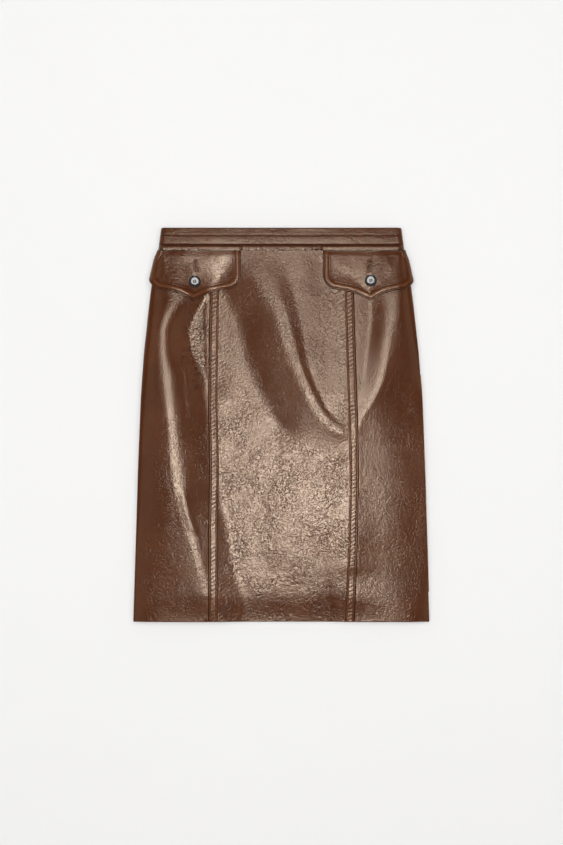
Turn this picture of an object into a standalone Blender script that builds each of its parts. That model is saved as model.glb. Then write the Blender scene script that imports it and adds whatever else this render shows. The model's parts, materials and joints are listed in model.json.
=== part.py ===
"""A knee-length leather skirt, closed and lying on its back on a flat surface.

Units are metres and +Z is up. The surface is z = 0, under the middle of the skirt. The waist is towards +Y,
the hem towards -Y, and left and right are those of someone who looks down at the front, waist at the top.

The skirt is a flattened tube. Its back lies on the surface, and its front lies over the back and rolls round
to it at the two side seams. A table of levels gives the tube's width, the two rolls and the lower middle from
the hem to the waist, one line gives the front's slanting fold, and every panel, flap and button takes its
place from them.
"""

import math
from typing import NamedTuple

import bmesh
import bpy
import numpy as np
from mathutils import Matrix, Vector

# --- Driving sizes ---------------------------------------------------------------------------------------

SEAM_GAP = 0.0003  # between two pieces that are sewn together
LEATHER = 0.0011
DOUBLED = 2 * LEATHER  # the waistband, the flaps and the turned-up hem

HEM_Y = -0.2984
WAIST_SEAM_Y = 0.2645
WAIST_TOP_Y = 0.2987
HEM_TURN = 0.035  # height of the turned-up hem
HEM_STEP = 0.001  # the turned-up edge ends over this height
HEM_ROUND = 0.0012  # the fold of the hem rounds off over this height

STRIP_WIDTH = 0.0118  # the raised, topstitched strip on the centre panel beside each long seam
STRIP_RISE = 0.0007
STRIP_WALL = 0.0024  # leather and the turned seam allowances under it
STRIP_STEP = 0.0047  # from the strip down to the rest of the panel
STRIP_FADE = 0.008  # the strip flattens over this height below the waistband

UNDER_ROLL = 1.6  # reach of the roll under the side seam, in heights of the seam
RIGHT_LEAN = 0.5  # below the hip the right side falls off to its seam this much more evenly than a round
LEFT_LEAN = 0.25
LEAN_FADE = 0.1  # from the hem up, over this
ROLL_FOOT_ROUND = 0.22  # share of a roll's inner slope that its foot is rounded over
SECTION_ROLL = 0.030  # the outer line round a side has close points this far in from the seam
HEM_DROP = 0.0006  # the front sinks by this towards the hem
HEM_DROP_HEIGHT = 0.045

PANEL_ROW = 0.026  # height of the facets of the long panels
LEAST_FLAT = 0.004  # a side panel has at least this much between its long seam and its roll
ROLL_COLUMNS = 5
FLAT_COLUMNS = 4
CENTRE_COLUMNS = 9


class Level(NamedTuple):
    """How the flattened tube lies at one height of the skirt, in millimetres."""

    name: str
    y: float
    half_width: float
    seam_height: float  # height of the outermost line, where the side seam is
    left_crest: float  # from the middle out to the top of the left roll
    left_crest_height: float
    left_foot: float  # from the middle out to the foot of the roll's inner slope
    left_floor: float  # height of the front at the lower left of the slanting fold
    right_crest: float
    right_crest_height: float
    right_foot: float
    right_floor: float  # height of the front at the upper right of the slanting fold
    right_low: float  # height of the front at the lower right of the slanting fold
    crest_round: float  # share of a roll's inner slope that its top is rounded over


LEVELS = (
    Level("hem", -298.4, 224.5, 5.7, 116, 11.8, 44, 6.4, 120, 11.8, 66, 6.7, 6.6, 0.45),
    Level("turned-up hem", -262.0, 223.3, 5.7, 119, 12.1, 48, 6.1, 118, 11.6, 66, 6.7, 7.2, 0.40),
    Level("above the hem", -225.0, 222.1, 5.8, 127, 12.7, 60, 5.8, 115, 11.2, 64, 6.8, 8.0, 0.36),
    Level("low knee", -195.0, 221.2, 5.9, 134, 13.1, 66, 5.6, 113, 10.9, 62, 6.9, 8.6, 0.32),
    Level("knee", -165.0, 220.2, 6.1, 145, 13.5, 73, 5.5, 114, 10.8, 60, 7.2, 9.0, 0.30),
    Level("high knee", -125.0, 219.0, 6.2, 155, 14.2, 81, 5.4, 116, 11.0, 70, 8.2, 9.3, 0.28),
    Level("low thigh", -85.0, 217.8, 6.6, 164, 14.6, 86, 5.2, 118, 11.4, 80, 9.4, 9.2, 0.28),
    Level("thigh", -40.0, 216.2, 6.9, 169, 14.9, 93, 5.1, 122, 11.7, 90, 10.6, 8.4, 0.30),
    Level("high thigh", 5.0, 214.4, 7.0, 172, 15.0, 100, 5.0, 132, 12.0, 104, 11.2, 7.4, 0.36),
    Level("low seat", 35.0, 213.3, 7.0, 175, 15.2, 104, 5.0, 142, 12.4, 112, 11.1, 7.3, 0.40),
    Level("seat", 70.0, 211.0, 7.0, 180, 15.2, 110, 5.0, 155, 13.3, 120, 10.7, 7.4, 0.42),
    Level("high seat", 111.0, 208.0, 7.0, 182, 15.2, 127, 5.0, 164, 13.8, 126, 10.4, 7.4, 0.44),
    Level("hip", 141.0, 204.8, 6.8, 182, 15.2, 132, 5.2, 168, 14.0, 130, 10.4, 7.4, 0.50),
    Level("high hip", 166.0, 202.2, 6.5, 177, 14.8, 130, 5.5, 173, 14.0, 131, 10.2, 7.4, 0.55),
    Level("flap foot", 195.0, 198.8, 6.2, 166, 13.4, 112, 5.8, 176, 13.6, 128, 10.0, 7.4, 0.60),
    Level("flap middle", 215.0, 196.2, 5.9, 168, 12.8, 96, 6.2, 178, 12.8, 110, 9.9, 7.6, 0.50),
    Level("flap root", 240.0, 192.0, 5.5, 174, 12.2, 70, 7.9, 176, 12.4, 70, 9.9, 9.0, 0.30),
    Level("waist seam", 264.5, 186.8, 5.2, 178, 11.6, 50, 9.9, 178, 11.6, 50, 10.0, 9.9, 0.12),
    Level("waist top", 298.7, 182.2, 4.9, 177, 11.2, 50, 10.1, 177, 11.2, 50, 10.1, 10.1, 0.12),
)


class LongSeam(NamedTuple):
    """Where the two long front seams run at one height."""

    name: str
    y: float
    left: float
    right: float


LONG_SEAMS = (
    LongSeam("hem", HEM_Y, -0.1097, 0.1103),
    LongSeam("knee", -0.1600, -0.1097, 0.1155),
    LongSeam("thigh", -0.0600, -0.1085, 0.1168),
    LongSeam("high thigh", 0.0330, -0.1100, 0.1144),
    LongSeam("hip", 0.1140, -0.1092, 0.1118),
    LongSeam("flap point", 0.2006, -0.1076, 0.1093),
    LongSeam("waist", WAIST_TOP_Y, -0.1050, 0.1055),
)


class Slant(NamedTuple):
    """One point of the slanting fold's crest, in millimetres, from the waist down."""

    x: float
    y: float
    flank: float  # width of the slope on its lower left
    height: float  # the crest stands above the front by this


SLANT = (
    Slant(-66, 274, 46, 0.0),
    Slant(-55, 254, 50, 0.2),
    Slant(-28, 214, 60, 0.8),
    Slant(-4, 176, 68, 1.7),
    Slant(13, 124, 76, 2.2),
    Slant(32, 75, 76, 2.3),
    Slant(54, 31, 74, 2.1),
    Slant(70, 8, 66, 1.7),
    Slant(92, -9, 52, 0.9),
    Slant(120, -18, 40, 0.3),
    Slant(165, -24, 60, 0.0),
    Slant(235, -28, 90, 0.0),
)
CREST_FALL = 0.024  # the slanting fold's crest falls off to its upper right over this
FLANK_TOP_ROUND = 0.18
FLANK_FOOT_ROUND = 0.22
LOW_FROM_X = -0.10  # the lower middle rises to the right from here
LOW_WIDTH = 0.22


class FlapDepth(NamedTuple):
    """How deep a pocket flap hangs below the waist seam, at a distance from its point."""

    from_point: float
    depth: float


FLAP_HALF = 0.0720
FLAP_CORNER = 0.0200
FLAP_PAST_SEAM = 0.0015  # its outer edge follows the side seam, just past it
FLAP_EDGE = (
    FlapDepth(0.0000, 0.0762),
    FlapDepth(0.0065, 0.0730),
    FlapDepth(0.0150, 0.0684),
    FlapDepth(0.0240, 0.0648),
    FlapDepth(0.0340, 0.0622),
    FlapDepth(0.0440, 0.0602),
    FlapDepth(FLAP_HALF - FLAP_CORNER, 0.0588),
    FlapDepth(FLAP_HALF, 0.0568),
)
FLAP_COLUMNS = (0.0, 0.006, 0.011, 0.0175, 0.028, 0.040, 0.051, 0.059, 0.0645, 0.0688, 0.0712, FLAP_HALF)
FLAP_ROWS = (0.0, 0.07, 0.20, 0.350, 0.378, 0.410, 0.50, 0.62, 0.75, 0.88, 1.0)  # shares of its depth
FLAP_CLEAR_ROOT = 0.0009
FLAP_CLEAR = 0.0013  # it clears the raised strip that it lies over
FLAP_FLARE = 0.0016  # its lower edge stands off the panel by this much more
FLAP_TUCK = 0.0050  # at its root its outer edge is drawn in under the waistband by this
FLAP_TUCK_HEIGHT = 0.022


class Flap(NamedTuple):
    """One pocket flap: the side it is on, its point, its buttonhole and its button."""

    name: str
    side: int
    point_x: float
    hole_shift: float  # from the line of the point towards the middle of the skirt
    button_shift: float
    button_drop: float  # from the waist seam down to the button's middle


FLAPS = (
    Flap("left", -1, 0.1330, 0.0038, 0.0015, 0.0479),
    Flap("right", 1, 0.1348, 0.0010, -0.0008, 0.0464),
)
FLAP_INNER_EDGE = min(flap.point_x for flap in FLAPS) - FLAP_HALF
TANGENT_STEP = 0.002  # the lie of the tube is read between two points this far to each side
BUTTONHOLE_ROWS = (3, 7)  # the flap's rows that it runs between
BUTTONHOLE_HALF = 0.0005
BUTTONHOLE_EYE = 0.0012  # half width of the round end, away from the point
BUTTONHOLE_CLEAR = 0.0026  # no other column of the flap is nearer than this to its middle


BAND_ROUND = 0.0012  # the fold at the waistband's top edge
BAND_ROUND_DEPTH = 0.0005


class BandRow(NamedTuple):
    """One line along the waistband: its place below the top edge, and how far it stands out."""

    name: str
    below_top: float
    relief: float


BAND_ROWS = (
    BandRow("top edge", 0.0000, -BAND_ROUND_DEPTH),
    BandRow("rounding", BAND_ROUND, 0.0000),
    BandRow("upper stitching", 0.0114, -0.0003),
    BandRow("flat", 0.0185, 0.0002),
    BandRow("lower stitching", 0.0259, -0.0004),
    BandRow("ridge", 0.0296, 0.0013),
    BandRow("seam", WAIST_TOP_Y - WAIST_SEAM_Y - SEAM_GAP / 2, 0.0009),
)
RIDGE_OVER_FLAP = 0.0014  # the ridge stands higher where a flap is sewn in under it
RIDGE_FADE = 0.006
BAND_COLUMN = 0.026

BUTTON_RADIUS = 0.0090
BUTTON_HOLE_RADIUS = 0.0009
BUTTON_HOLE_PLACE = 0.0019
BUTTON_SIDES = 28
BUTTON_PROFILE = (  # radius and height, from the middle of the underside round to the middle of the dish
    (0.0000, 0.0000),
    (0.0074, 0.0000),
    (0.0086, 0.0006),
    (0.0090, 0.0015),
    (0.0085, 0.0026),
    (0.0076, 0.0030),
    (0.0067, 0.0026),
    (0.0058, 0.0017),
    (0.0000, 0.0014),
)

ZIP_END_Y = 0.1150
ZIP_TAPE_HALF = 0.0120
ZIP_TAPE = 0.0005
ZIP_CHAIN_HALF = 0.0017
ZIP_CHAIN = 0.0014
ZIP_NOTCH_HALF = 0.0040  # the chain is left out from here to here, above the slider's lower end
ZIP_CLIMB = 0.0078  # the tape climbs from the back onto the thicker band over this height
ZIP_BELOW_TOP = 0.0040
SLIDER_Y = 0.2897  # the pull tab's axis
SLIDER_HALF = 0.0034
SLIDER_LENGTH = 0.0080
SLIDER_BODY = 0.0014
SLIDER_CHAMFER = 0.0005
BRIDGE_HALF = 0.0008
ARCH_INNER = 0.00085
ARCH_OUTER = 0.0019
PULL_AXIS_Z = 0.0021
PULL_LENGTH = 0.0190
PULL_THICK = 0.0009
PULL_BAR_RADIUS = 0.00052
PULL_HALF = 0.0026
PULL_WINDOW_HALF = 0.0013
PULL_WINDOW_END = 0.0026
PULL_HANG = math.radians(3.2)  # it hangs from level, its end just off the surface
SLIT_HALF = BRIDGE_HALF + SEAM_GAP  # the two back bands stand apart by this at the slider
SLIT_OPEN = 0.0025
SLIT_FADE = 0.0020
BACK_LIFT = 0.0031  # the back is held this far off the surface by the slider and pull tab
LIFT_HALF = 0.0055
LIFT_FADE_X = 0.0240
LIFT_LOW_Y = 0.2660
LIFT_FADE_Y = 0.0320


class Finish(NamedTuple):
    """A Principled material's colour, roughness and metallic value."""

    name: str
    colour: tuple[float, float, float]
    roughness: float
    metallic: float


GLAZED = Finish("glazed_brown_leather", (0.105, 0.036, 0.016), 0.30, 0.0)
BUTTON_FINISH = Finish("dark_polished_button", (0.012, 0.009, 0.008), 0.18, 0.0)
TAPE_FINISH = Finish("brown_zip_tape", (0.060, 0.028, 0.016), 0.85, 0.0)
METAL_FINISH = Finish("brown_enamelled_zip_metal", (0.075, 0.030, 0.015), 0.35, 0.6)


# --- Curves and heights ----------------------------------------------------------------------------------


def smooth_value(places, values, at):
    """The smooth curve through the values, read at some places. It never overshoots them."""
    places, values, at = (np.asarray(a, float) for a in (places, values, at))
    steps = np.diff(places)
    slopes = np.diff(values) / steps
    tangents = np.concatenate([slopes[:1], np.zeros(len(values) - 2), slopes[-1:]])
    product = slopes[:-1] * slopes[1:]
    total = slopes[:-1] + slopes[1:]
    same_way = product > 0
    tangents[1:-1][same_way] = 2 * product[same_way] / total[same_way]
    cell = np.clip(np.searchsorted(places, at) - 1, 0, len(steps) - 1)
    t = np.clip((at - places[cell]) / steps[cell], 0, 1)
    rise = values[cell] * (1 + 2 * t) * (1 - t) ** 2 + values[cell + 1] * t * t * (3 - 2 * t)
    lean = tangents[cell] * t * (1 - t) ** 2 - tangents[cell + 1] * t * t * (1 - t)
    return rise + lean * steps[cell]


def ease(x):
    """0 below 0, 1 above 1, and a soft step between."""
    t = np.clip(x, 0, 1)
    return t * t * (3 - 2 * t)


def level(field, y):
    """A column of the table of levels, at any height of the skirt."""
    places = [row.y / 1000 for row in LEVELS]
    return smooth_value(places, [getattr(row, field) / 1000 for row in LEVELS], y)


def long_seam(field, y):
    """The x of a long front seam at any height of the skirt."""
    return smooth_value([row.y for row in LONG_SEAMS], [getattr(row, field) for row in LONG_SEAMS], y)


def slide(along, top, foot):
    """1 before 0, 0 after 1, and between them an even slope that is rounded at its top and foot."""
    t = np.clip(along, 0, 1)
    full = 1 - (top + foot) / 2
    rounded_top = t * t / (2 * top)
    rounded_foot = full - (1 - t) ** 2 / (2 * foot)
    fallen = np.where(t < top, rounded_top, np.where(t > 1 - foot, rounded_foot, t - top / 2))
    return 1 - fallen / full


def slanting_fold(x, y):
    """How far up the slanting fold's flank each place is, from 0 to 1, and what the fold's crest adds."""
    nearest = np.full(np.broadcast(x, y).shape, np.inf)
    signed, flank, crest = np.zeros_like(nearest), np.ones_like(nearest), np.zeros_like(nearest)
    for start, end in zip(SLANT[:-1], SLANT[1:], strict=True):
        run = np.array([end.x - start.x, end.y - start.y]) / 1000
        length = np.linalg.norm(run)
        way = run / length
        dx, dy = x - start.x / 1000, y - start.y / 1000
        place = np.clip(dx * way[0] + dy * way[1], 0, length)
        away = np.hypot(dx - place * way[0], dy - place * way[1])
        closer = away < nearest
        share = place / length
        nearest = np.where(closer, away, nearest)
        signed = np.where(closer, np.sign(way[0] * dy - way[1] * dx) * away, signed)
        flank = np.where(closer, (start.flank + (end.flank - start.flank) * share) / 1000, flank)
        crest = np.where(closer, (start.height + (end.height - start.height) * share) / 1000, crest)
    up = np.where(signed >= 0, 1.0, slide(-signed / flank, FLANK_TOP_ROUND, FLANK_FOOT_ROUND))
    beyond = slide(signed / CREST_FALL, ROLL_FOOT_ROUND, ROLL_FOOT_ROUND)
    return up, crest * np.where(signed >= 0, beyond, up)


def front_height(x, y):
    """Height of the front's outer surface, without the raised strips beside the long seams."""
    x, y = np.broadcast_arrays(np.asarray(x, float), np.asarray(y, float))
    crest, top, foot = (
        np.where(x > 0, level(f"right_{part}", y), level(f"left_{part}", y))
        for part in ("crest", "crest_height", "foot")
    )
    away, edge, low = np.abs(x), level("half_width", y), level("seam_height", y)
    up, slant_crest = slanting_fold(x, y)
    left_floor = level("left_floor", y)
    low_floor = left_floor + (level("right_low", y) - left_floor) * ease((x - LOW_FROM_X) / LOW_WIDTH)
    middle = low_floor + (level("right_floor", y) - low_floor) * up + slant_crest
    past_crest = (crest - away) / (crest - foot)
    inner = middle + (top - middle) * slide(past_crest, 1000 * level("crest_round", y), ROLL_FOOT_ROUND)
    share = np.clip((edge - away) / (edge - crest), 0, 1)
    lean = np.where(x > 0, RIGHT_LEAN * ease((0.15 - y) / 0.12), LEFT_LEAN * ease((0.10 - y) / 0.12))
    lean = lean * ease((y - HEM_Y) / LEAN_FADE)
    outer = low + (top - low) * ((1 - lean) * np.sqrt(1 - (1 - share) ** 2) + lean * share)
    height = np.where(away > crest, outer, np.where(away > foot, inner, middle))
    return height - HEM_DROP * ease((HEM_Y + HEM_DROP_HEIGHT - y) / HEM_DROP_HEIGHT) * ease(share)


def back_lift(x, y):
    """How far the back is held off the surface round the zip's slider."""
    across = 1 - ease((np.abs(x) - LIFT_HALF) / LIFT_FADE_X)
    return BACK_LIFT * across * (1 - ease((LIFT_LOW_Y - y) / LIFT_FADE_Y))


def back_height(x, y):
    """Height of the back's outer surface, which is its underside."""
    low = level("seam_height", y)
    inset = np.clip(level("half_width", y) - np.abs(x), 0, None)
    share = np.clip(inset / (UNDER_ROLL * low), 0, 1)
    return low * (1 - np.sqrt(1 - (1 - share) ** 2)) + back_lift(x, y)


def slit_half(y):
    """Half the gap between the two halves of the back, which stand apart at the zip's slider."""
    near = 1 - ease((np.abs(y - SLIDER_Y) - SLIT_OPEN) / SLIT_FADE)
    return SEAM_GAP / 2 + (SLIT_HALF - SEAM_GAP / 2) * near


# --- Making solids ---------------------------------------------------------------------------------------


def clear_scene():
    for old in list(bpy.data.objects):
        bpy.data.objects.remove(old, do_unlink=True)


def material_of(finish):
    """The Principled material of a finish, made once."""
    made = bpy.data.materials.get(finish.name)
    if made is None:
        made = bpy.data.materials.new(finish.name)
        made.use_nodes = True
        shader = made.node_tree.nodes["Principled BSDF"]
        shader.inputs["Base Color"].default_value = (*finish.colour, 1.0)
        shader.inputs["Roughness"].default_value = finish.roughness
        shader.inputs["Metallic"].default_value = finish.metallic
    return made


def add_object(name, mesh_builder, finish, sharp=math.radians(35)):
    """An object of a bmesh, with its faces outwards, shaded smooth but for its sharp edges."""
    bmesh.ops.recalc_face_normals(mesh_builder, faces=mesh_builder.faces)
    if mesh_builder.calc_volume(signed=True) < 0:
        bmesh.ops.reverse_faces(mesh_builder, faces=mesh_builder.faces)
    mesh = bpy.data.meshes.new(name)
    mesh_builder.to_mesh(mesh)
    mesh_builder.free()
    mesh.shade_smooth()
    mesh.set_sharp_from_angle(angle=sharp)
    mesh.materials.append(material_of(finish))
    made = bpy.data.objects.new(name, mesh)
    bpy.context.scene.collection.objects.link(made)
    return made


def grid_normals(grid, way):
    """A unit normal for each point of a grid; way is 1 where its columns run to +X and its rows to +Y."""
    down = np.gradient(grid, axis=0)
    along = np.gradient(grid, axis=1)
    normals = way * np.cross(along, down)
    return normals / np.linalg.norm(normals, axis=2, keepdims=True)


def squared(normals, part, axis):
    """Turns an edge's normals square to an axis, so that the edge is cut straight and meets its neighbour."""
    edge = normals[part]
    edge[..., axis] = 0
    normals[part] = edge / np.linalg.norm(edge, axis=-1, keepdims=True)


def sheet_solid(name, outer, inner, finish, holes=()):
    """A closed solid between two grids of points. A hole is a range of rows and one of columns left out."""
    rows, columns = outer.shape[:2]
    kept = np.ones((rows - 1, columns - 1), bool)
    for (low_row, high_row), (low_column, high_column) in holes:
        kept[low_row:high_row, low_column:high_column] = False
    builder = bmesh.new()
    corners = {}

    def corner(layer, row, column):
        key = (layer, row, column)
        if key not in corners:
            corners[key] = builder.verts.new((outer, inner)[layer][row, column])
        return corners[key]

    for row, column in zip(*np.nonzero(kept), strict=True):
        ring = [(row, column), (row, column + 1), (row + 1, column + 1), (row + 1, column)]
        builder.faces.new([corner(0, *place) for place in ring])
        builder.faces.new([corner(1, *place) for place in reversed(ring)])
        beyond = [(row - 1, column), (row, column + 1), (row + 1, column), (row, column - 1)]
        for side, (next_row, next_column) in enumerate(beyond):
            inside = 0 <= next_row < rows - 1 and 0 <= next_column < columns - 1
            if inside and kept[next_row, next_column]:
                continue
            first, second = ring[side], ring[(side + 1) % 4]
            builder.faces.new([corner(0, *second), corner(0, *first), corner(1, *first), corner(1, *second)])
    return add_object(name, builder, finish)


def prism(builder, outline, low, high):
    """Adds to a bmesh the solid that an outline in a plane sweeps along X, from low to high."""
    rings = [[builder.verts.new((x, y, z)) for y, z in outline] for x in (low, high)]
    for i in range(len(outline)):
        j = (i + 1) % len(outline)
        builder.faces.new([rings[0][i], rings[0][j], rings[1][j], rings[1][i]])
    builder.faces.new(rings[0])
    builder.faces.new(rings[1])


def combine(target, tool, operation):
    """Runs a Boolean of one object on another, applies it and removes the tool."""
    change = target.modifiers.new(operation.lower(), "BOOLEAN")
    change.operation = operation
    change.solver = "EXACT"
    change.object = tool
    bpy.context.view_layer.update()
    evaluated = target.evaluated_get(bpy.context.evaluated_depsgraph_get())
    mesh = bpy.data.meshes.new_from_object(evaluated)
    target.modifiers.remove(change)
    target.data = mesh
    bpy.data.objects.remove(tool, do_unlink=True)


# --- Panels ----------------------------------------------------------------------------------------------


def panel_rows():
    """The heights of a long panel's rows of points, from the hem up to the waist seam."""
    hem = [HEM_Y + above for above in (0, HEM_ROUND, HEM_TURN / 2, HEM_TURN, HEM_TURN + HEM_STEP)]
    top = WAIST_SEAM_Y - SEAM_GAP / 2
    count = round((top - hem[-1]) / PANEL_ROW)
    return np.array(hem + list(np.linspace(hem[-1], top, count + 1)[1:]))


def panel_wall(y):
    """The wall's thickness: doubled where the hem is turned up."""
    return np.where(y < HEM_Y + HEM_TURN + HEM_STEP / 2, DOUBLED, LEATHER)


def rounded_hem(outer, normals):
    """Draws the outer surface in at the fold of the hem."""
    outer[0] -= 0.5 * LEATHER * normals[0]


def roll_insets(roll):
    """Columns across a side roll, from its top out to the side seam, as distances in from that seam."""
    turns = np.linspace(0, math.pi / 2, ROLL_COLUMNS + 1)[1:]
    return roll[:, None] * (1 - np.sin(turns))[None, :]


def front_side(name, side):
    """A front side panel, from its long seam over the roll to the side seam."""
    y = panel_rows()
    seam = np.abs(long_seam("left" if side < 0 else "right", y)) + SEAM_GAP / 2
    edge = level("half_width", y)
    shares = np.linspace(0, 1, FLAT_COLUMNS + 1)
    crest = np.maximum(level("left_crest" if side < 0 else "right_crest", y), seam + LEAST_FLAT)
    flat = seam[:, None] + (crest - seam)[:, None] * shares
    rolled = edge[:, None] - roll_insets(edge - crest)
    x = side * np.concatenate([flat, rolled], axis=1)
    rows = np.broadcast_to(y[:, None], x.shape)
    z = front_height(x, rows)
    z[:, -1] += SEAM_GAP / 2
    outer = np.stack([x, rows, z], axis=2)
    normals = grid_normals(outer, side)
    squared(normals, (slice(None), 0), 0)
    squared(normals, (slice(None), -1), 2)
    squared(normals, (-1,), 1)
    rounded_hem(outer, normals)
    inner = outer - normals * panel_wall(rows)[..., None]
    return sheet_solid(name, outer, inner, GLAZED)


def front_centre():
    """The front centre panel, with a raised strip beside each long seam."""
    y = panel_rows()
    left = long_seam("left", y) + SEAM_GAP / 2
    right = long_seam("right", y) - SEAM_GAP / 2
    between = np.linspace(0, 1, CENTRE_COLUMNS)
    inner_left, inner_right = left + STRIP_WIDTH + STRIP_STEP, right - STRIP_WIDTH - STRIP_STEP
    middle = inner_left[:, None] + (inner_right - inner_left)[:, None] * between
    x = np.column_stack([left, left + STRIP_WIDTH, middle, right - STRIP_WIDTH, right])
    rows = np.broadcast_to(y[:, None], x.shape)
    on_strip = np.zeros(x.shape)
    on_strip[:, [0, 1, -2, -1]] = 1
    on_strip *= ease((WAIST_SEAM_Y - rows) / STRIP_FADE)
    outer = np.stack([x, rows, front_height(x, rows) + STRIP_RISE * on_strip], axis=2)
    normals = grid_normals(outer, 1)
    squared(normals, (slice(None), 0), 0)
    squared(normals, (slice(None), -1), 0)
    squared(normals, (-1,), 1)
    rounded_hem(outer, normals)
    wall = np.maximum(panel_wall(rows), LEATHER + (STRIP_WALL - LEATHER) * on_strip)
    return sheet_solid("front_centre", outer, outer - normals * wall[..., None], GLAZED)


def back_columns(side, y):
    """Columns of a back piece, from the centre-back slit out to the side seam."""
    edge, roll = level("half_width", y), UNDER_ROLL * level("seam_height", y)
    near = np.array([0.0, LIFT_HALF, LIFT_HALF + 0.5 * LIFT_FADE_X, LIFT_HALF + LIFT_FADE_X])
    shares = np.linspace(0, 1, FLAT_COLUMNS)[1:]
    flat = near[-1] + ((edge - roll) - near[-1])[:, None] * shares
    start = np.broadcast_to(near, (len(y), len(near))).copy()
    start[:, 0] = slit_half(y)
    rolled = edge[:, None] - roll_insets(roll)
    return side * np.concatenate([start, flat, rolled], axis=1)


def back_piece(name, side, y, wall, relief):
    """A back panel or a back band: its outer surface, its wall and how far each row stands out."""
    x = back_columns(side, y)
    rows = np.broadcast_to(y[:, None], x.shape)
    z = back_height(x, rows)
    z[:, -1] -= SEAM_GAP / 2
    outer = np.stack([x, rows, z], axis=2)
    normals = grid_normals(outer, -side)
    squared(normals, (slice(None), 0), 0)
    squared(normals, (slice(None), -1), 2)
    squared(normals, (0,), 1)
    squared(normals, (-1,), 1)
    outer += normals * relief[:, None, None]
    return sheet_solid(name, outer, outer - normals * wall[:, None, None], GLAZED)


def back_panel(name, side):
    """A back panel, flat on the surface, from the centre-back seam to the side seam."""
    y = panel_rows()
    relief = np.zeros(len(y))
    return back_piece(name, side, y, panel_wall(y), relief)


# --- Waistband -------------------------------------------------------------------------------------------


def band_heights():
    """The heights of the waistband's rows, from the waist seam up to the top edge."""
    return np.array([WAIST_TOP_Y - row.below_top for row in reversed(BAND_ROWS)])


def waistband_back(name, side):
    """One half of the band at the back, which lies flat, so that only its top edge is rounded."""
    faded = SLIT_OPEN + SLIT_FADE
    at_slider = [SLIDER_Y + away for away in (-faded, -SLIT_OPEN, SLIT_OPEN, faded)]
    low = WAIST_SEAM_Y + SEAM_GAP / 2
    y = np.array([low, (low + at_slider[0]) / 2, *at_slider, WAIST_TOP_Y - BAND_ROUND, WAIST_TOP_Y])
    relief = np.zeros(len(y))
    relief[-1] = -BAND_ROUND_DEPTH
    return back_piece(name, side, y, DOUBLED + relief, relief)


def waistband_front():
    """The band across the front, from side seam to side seam, with its grooves and its ridge."""
    y = band_heights()
    edge, flat_half = level("half_width", y), level("left_crest", y)
    count = 2 * round(float(flat_half.mean()) / BAND_COLUMN)
    flat = flat_half[:, None] * np.linspace(-1, 1, count + 1)
    rolled = edge[:, None] - roll_insets(edge - flat_half)
    x = np.concatenate([-rolled[:, ::-1], flat, rolled], axis=1)
    rows = np.broadcast_to(y[:, None], x.shape)
    z = front_height(x, rows)
    z[:, [0, -1]] += SEAM_GAP / 2
    outer = np.stack([x, rows, z], axis=2)
    normals = grid_normals(outer, 1)
    squared(normals, (slice(None), 0), 2)
    squared(normals, (slice(None), -1), 2)
    squared(normals, (0,), 1)
    squared(normals, (-1,), 1)
    relief = np.array([row.relief for row in reversed(BAND_ROWS)])[:, None]
    over_flap = ease((np.abs(x) - FLAP_INNER_EDGE) / RIDGE_FADE + 0.5)
    relief = relief + RIDGE_OVER_FLAP * over_flap * (relief > LEATHER / 2)
    inner = outer - normals * DOUBLED
    return sheet_solid("waistband_front", outer + normals * relief[..., None], inner, GLAZED)


# --- Pocket flaps and buttons ----------------------------------------------------------------------------


def flap_depth(from_point):
    """How deep a flap hangs at a distance from its point, with its lower corners rounded."""
    away = np.abs(from_point)
    edge = smooth_value([row.from_point for row in FLAP_EDGE], [row.depth for row in FLAP_EDGE], away)
    into_corner = np.clip(away - (FLAP_HALF - FLAP_CORNER), 0, FLAP_CORNER)
    return edge - FLAP_CORNER + np.sqrt(FLAP_CORNER**2 - into_corner**2)


def section_line(side, y, samples=24):
    """The tube's outer line at one height, from near the middle of the front round the side to the back."""
    edge = float(level("half_width", y))
    low = float(level("seam_height", y))
    turns = np.linspace(0, math.pi / 2, samples)
    flat = np.linspace(0.03, edge - SECTION_ROLL, 3 * samples)[:-1]
    upper = edge - SECTION_ROLL * (1 - np.sin(turns))
    lower = edge - UNDER_ROLL * low * (1 - np.cos(turns[1:]))
    x = np.concatenate([flat, upper, lower])
    z_front = front_height(side * np.concatenate([flat, upper]), y)
    z_back = low * (1 - np.sin(turns[1:]))
    return x, np.concatenate([z_front, z_back])


def flap_point(flap, from_point, share, out):
    """A place on a flap: a distance from its point towards the side seam, measured along the tube, a share of
    its depth there, and a height above its underside."""
    y = WAIST_SEAM_Y - SEAM_GAP / 2 - share * float(flap_depth(from_point))
    x, z = section_line(flap.side, y)
    along = np.concatenate([[0], np.cumsum(np.hypot(np.diff(x), np.diff(z)))])
    outermost = int(np.argmax(x))
    start = float(np.interp(flap.point_x, x[: outermost + 1], along[: outermost + 1]))
    reach = min(FLAP_HALF, along[outermost] + FLAP_PAST_SEAM - start)
    below_root = WAIST_SEAM_Y - SEAM_GAP / 2 - y
    reach -= FLAP_TUCK * (1 - float(ease(below_root / FLAP_TUCK_HEIGHT)))
    place = start + from_point * (reach / FLAP_HALF if from_point > 0 else 1)
    here, before, after = (
        np.array([np.interp(place + step, along, x), np.interp(place + step, along, z)])
        for step in (0, -TANGENT_STEP, TANGENT_STEP)
    )
    way = (after - before) / np.linalg.norm(after - before)
    clear = FLAP_CLEAR_ROOT + (FLAP_CLEAR - FLAP_CLEAR_ROOT) * float(ease(share / 0.15))
    clear += FLAP_FLARE * share**2
    away = here + np.array([-way[1], way[0]]) * (clear + out)
    return np.array([flap.side * away[0], y, away[1]])


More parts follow.
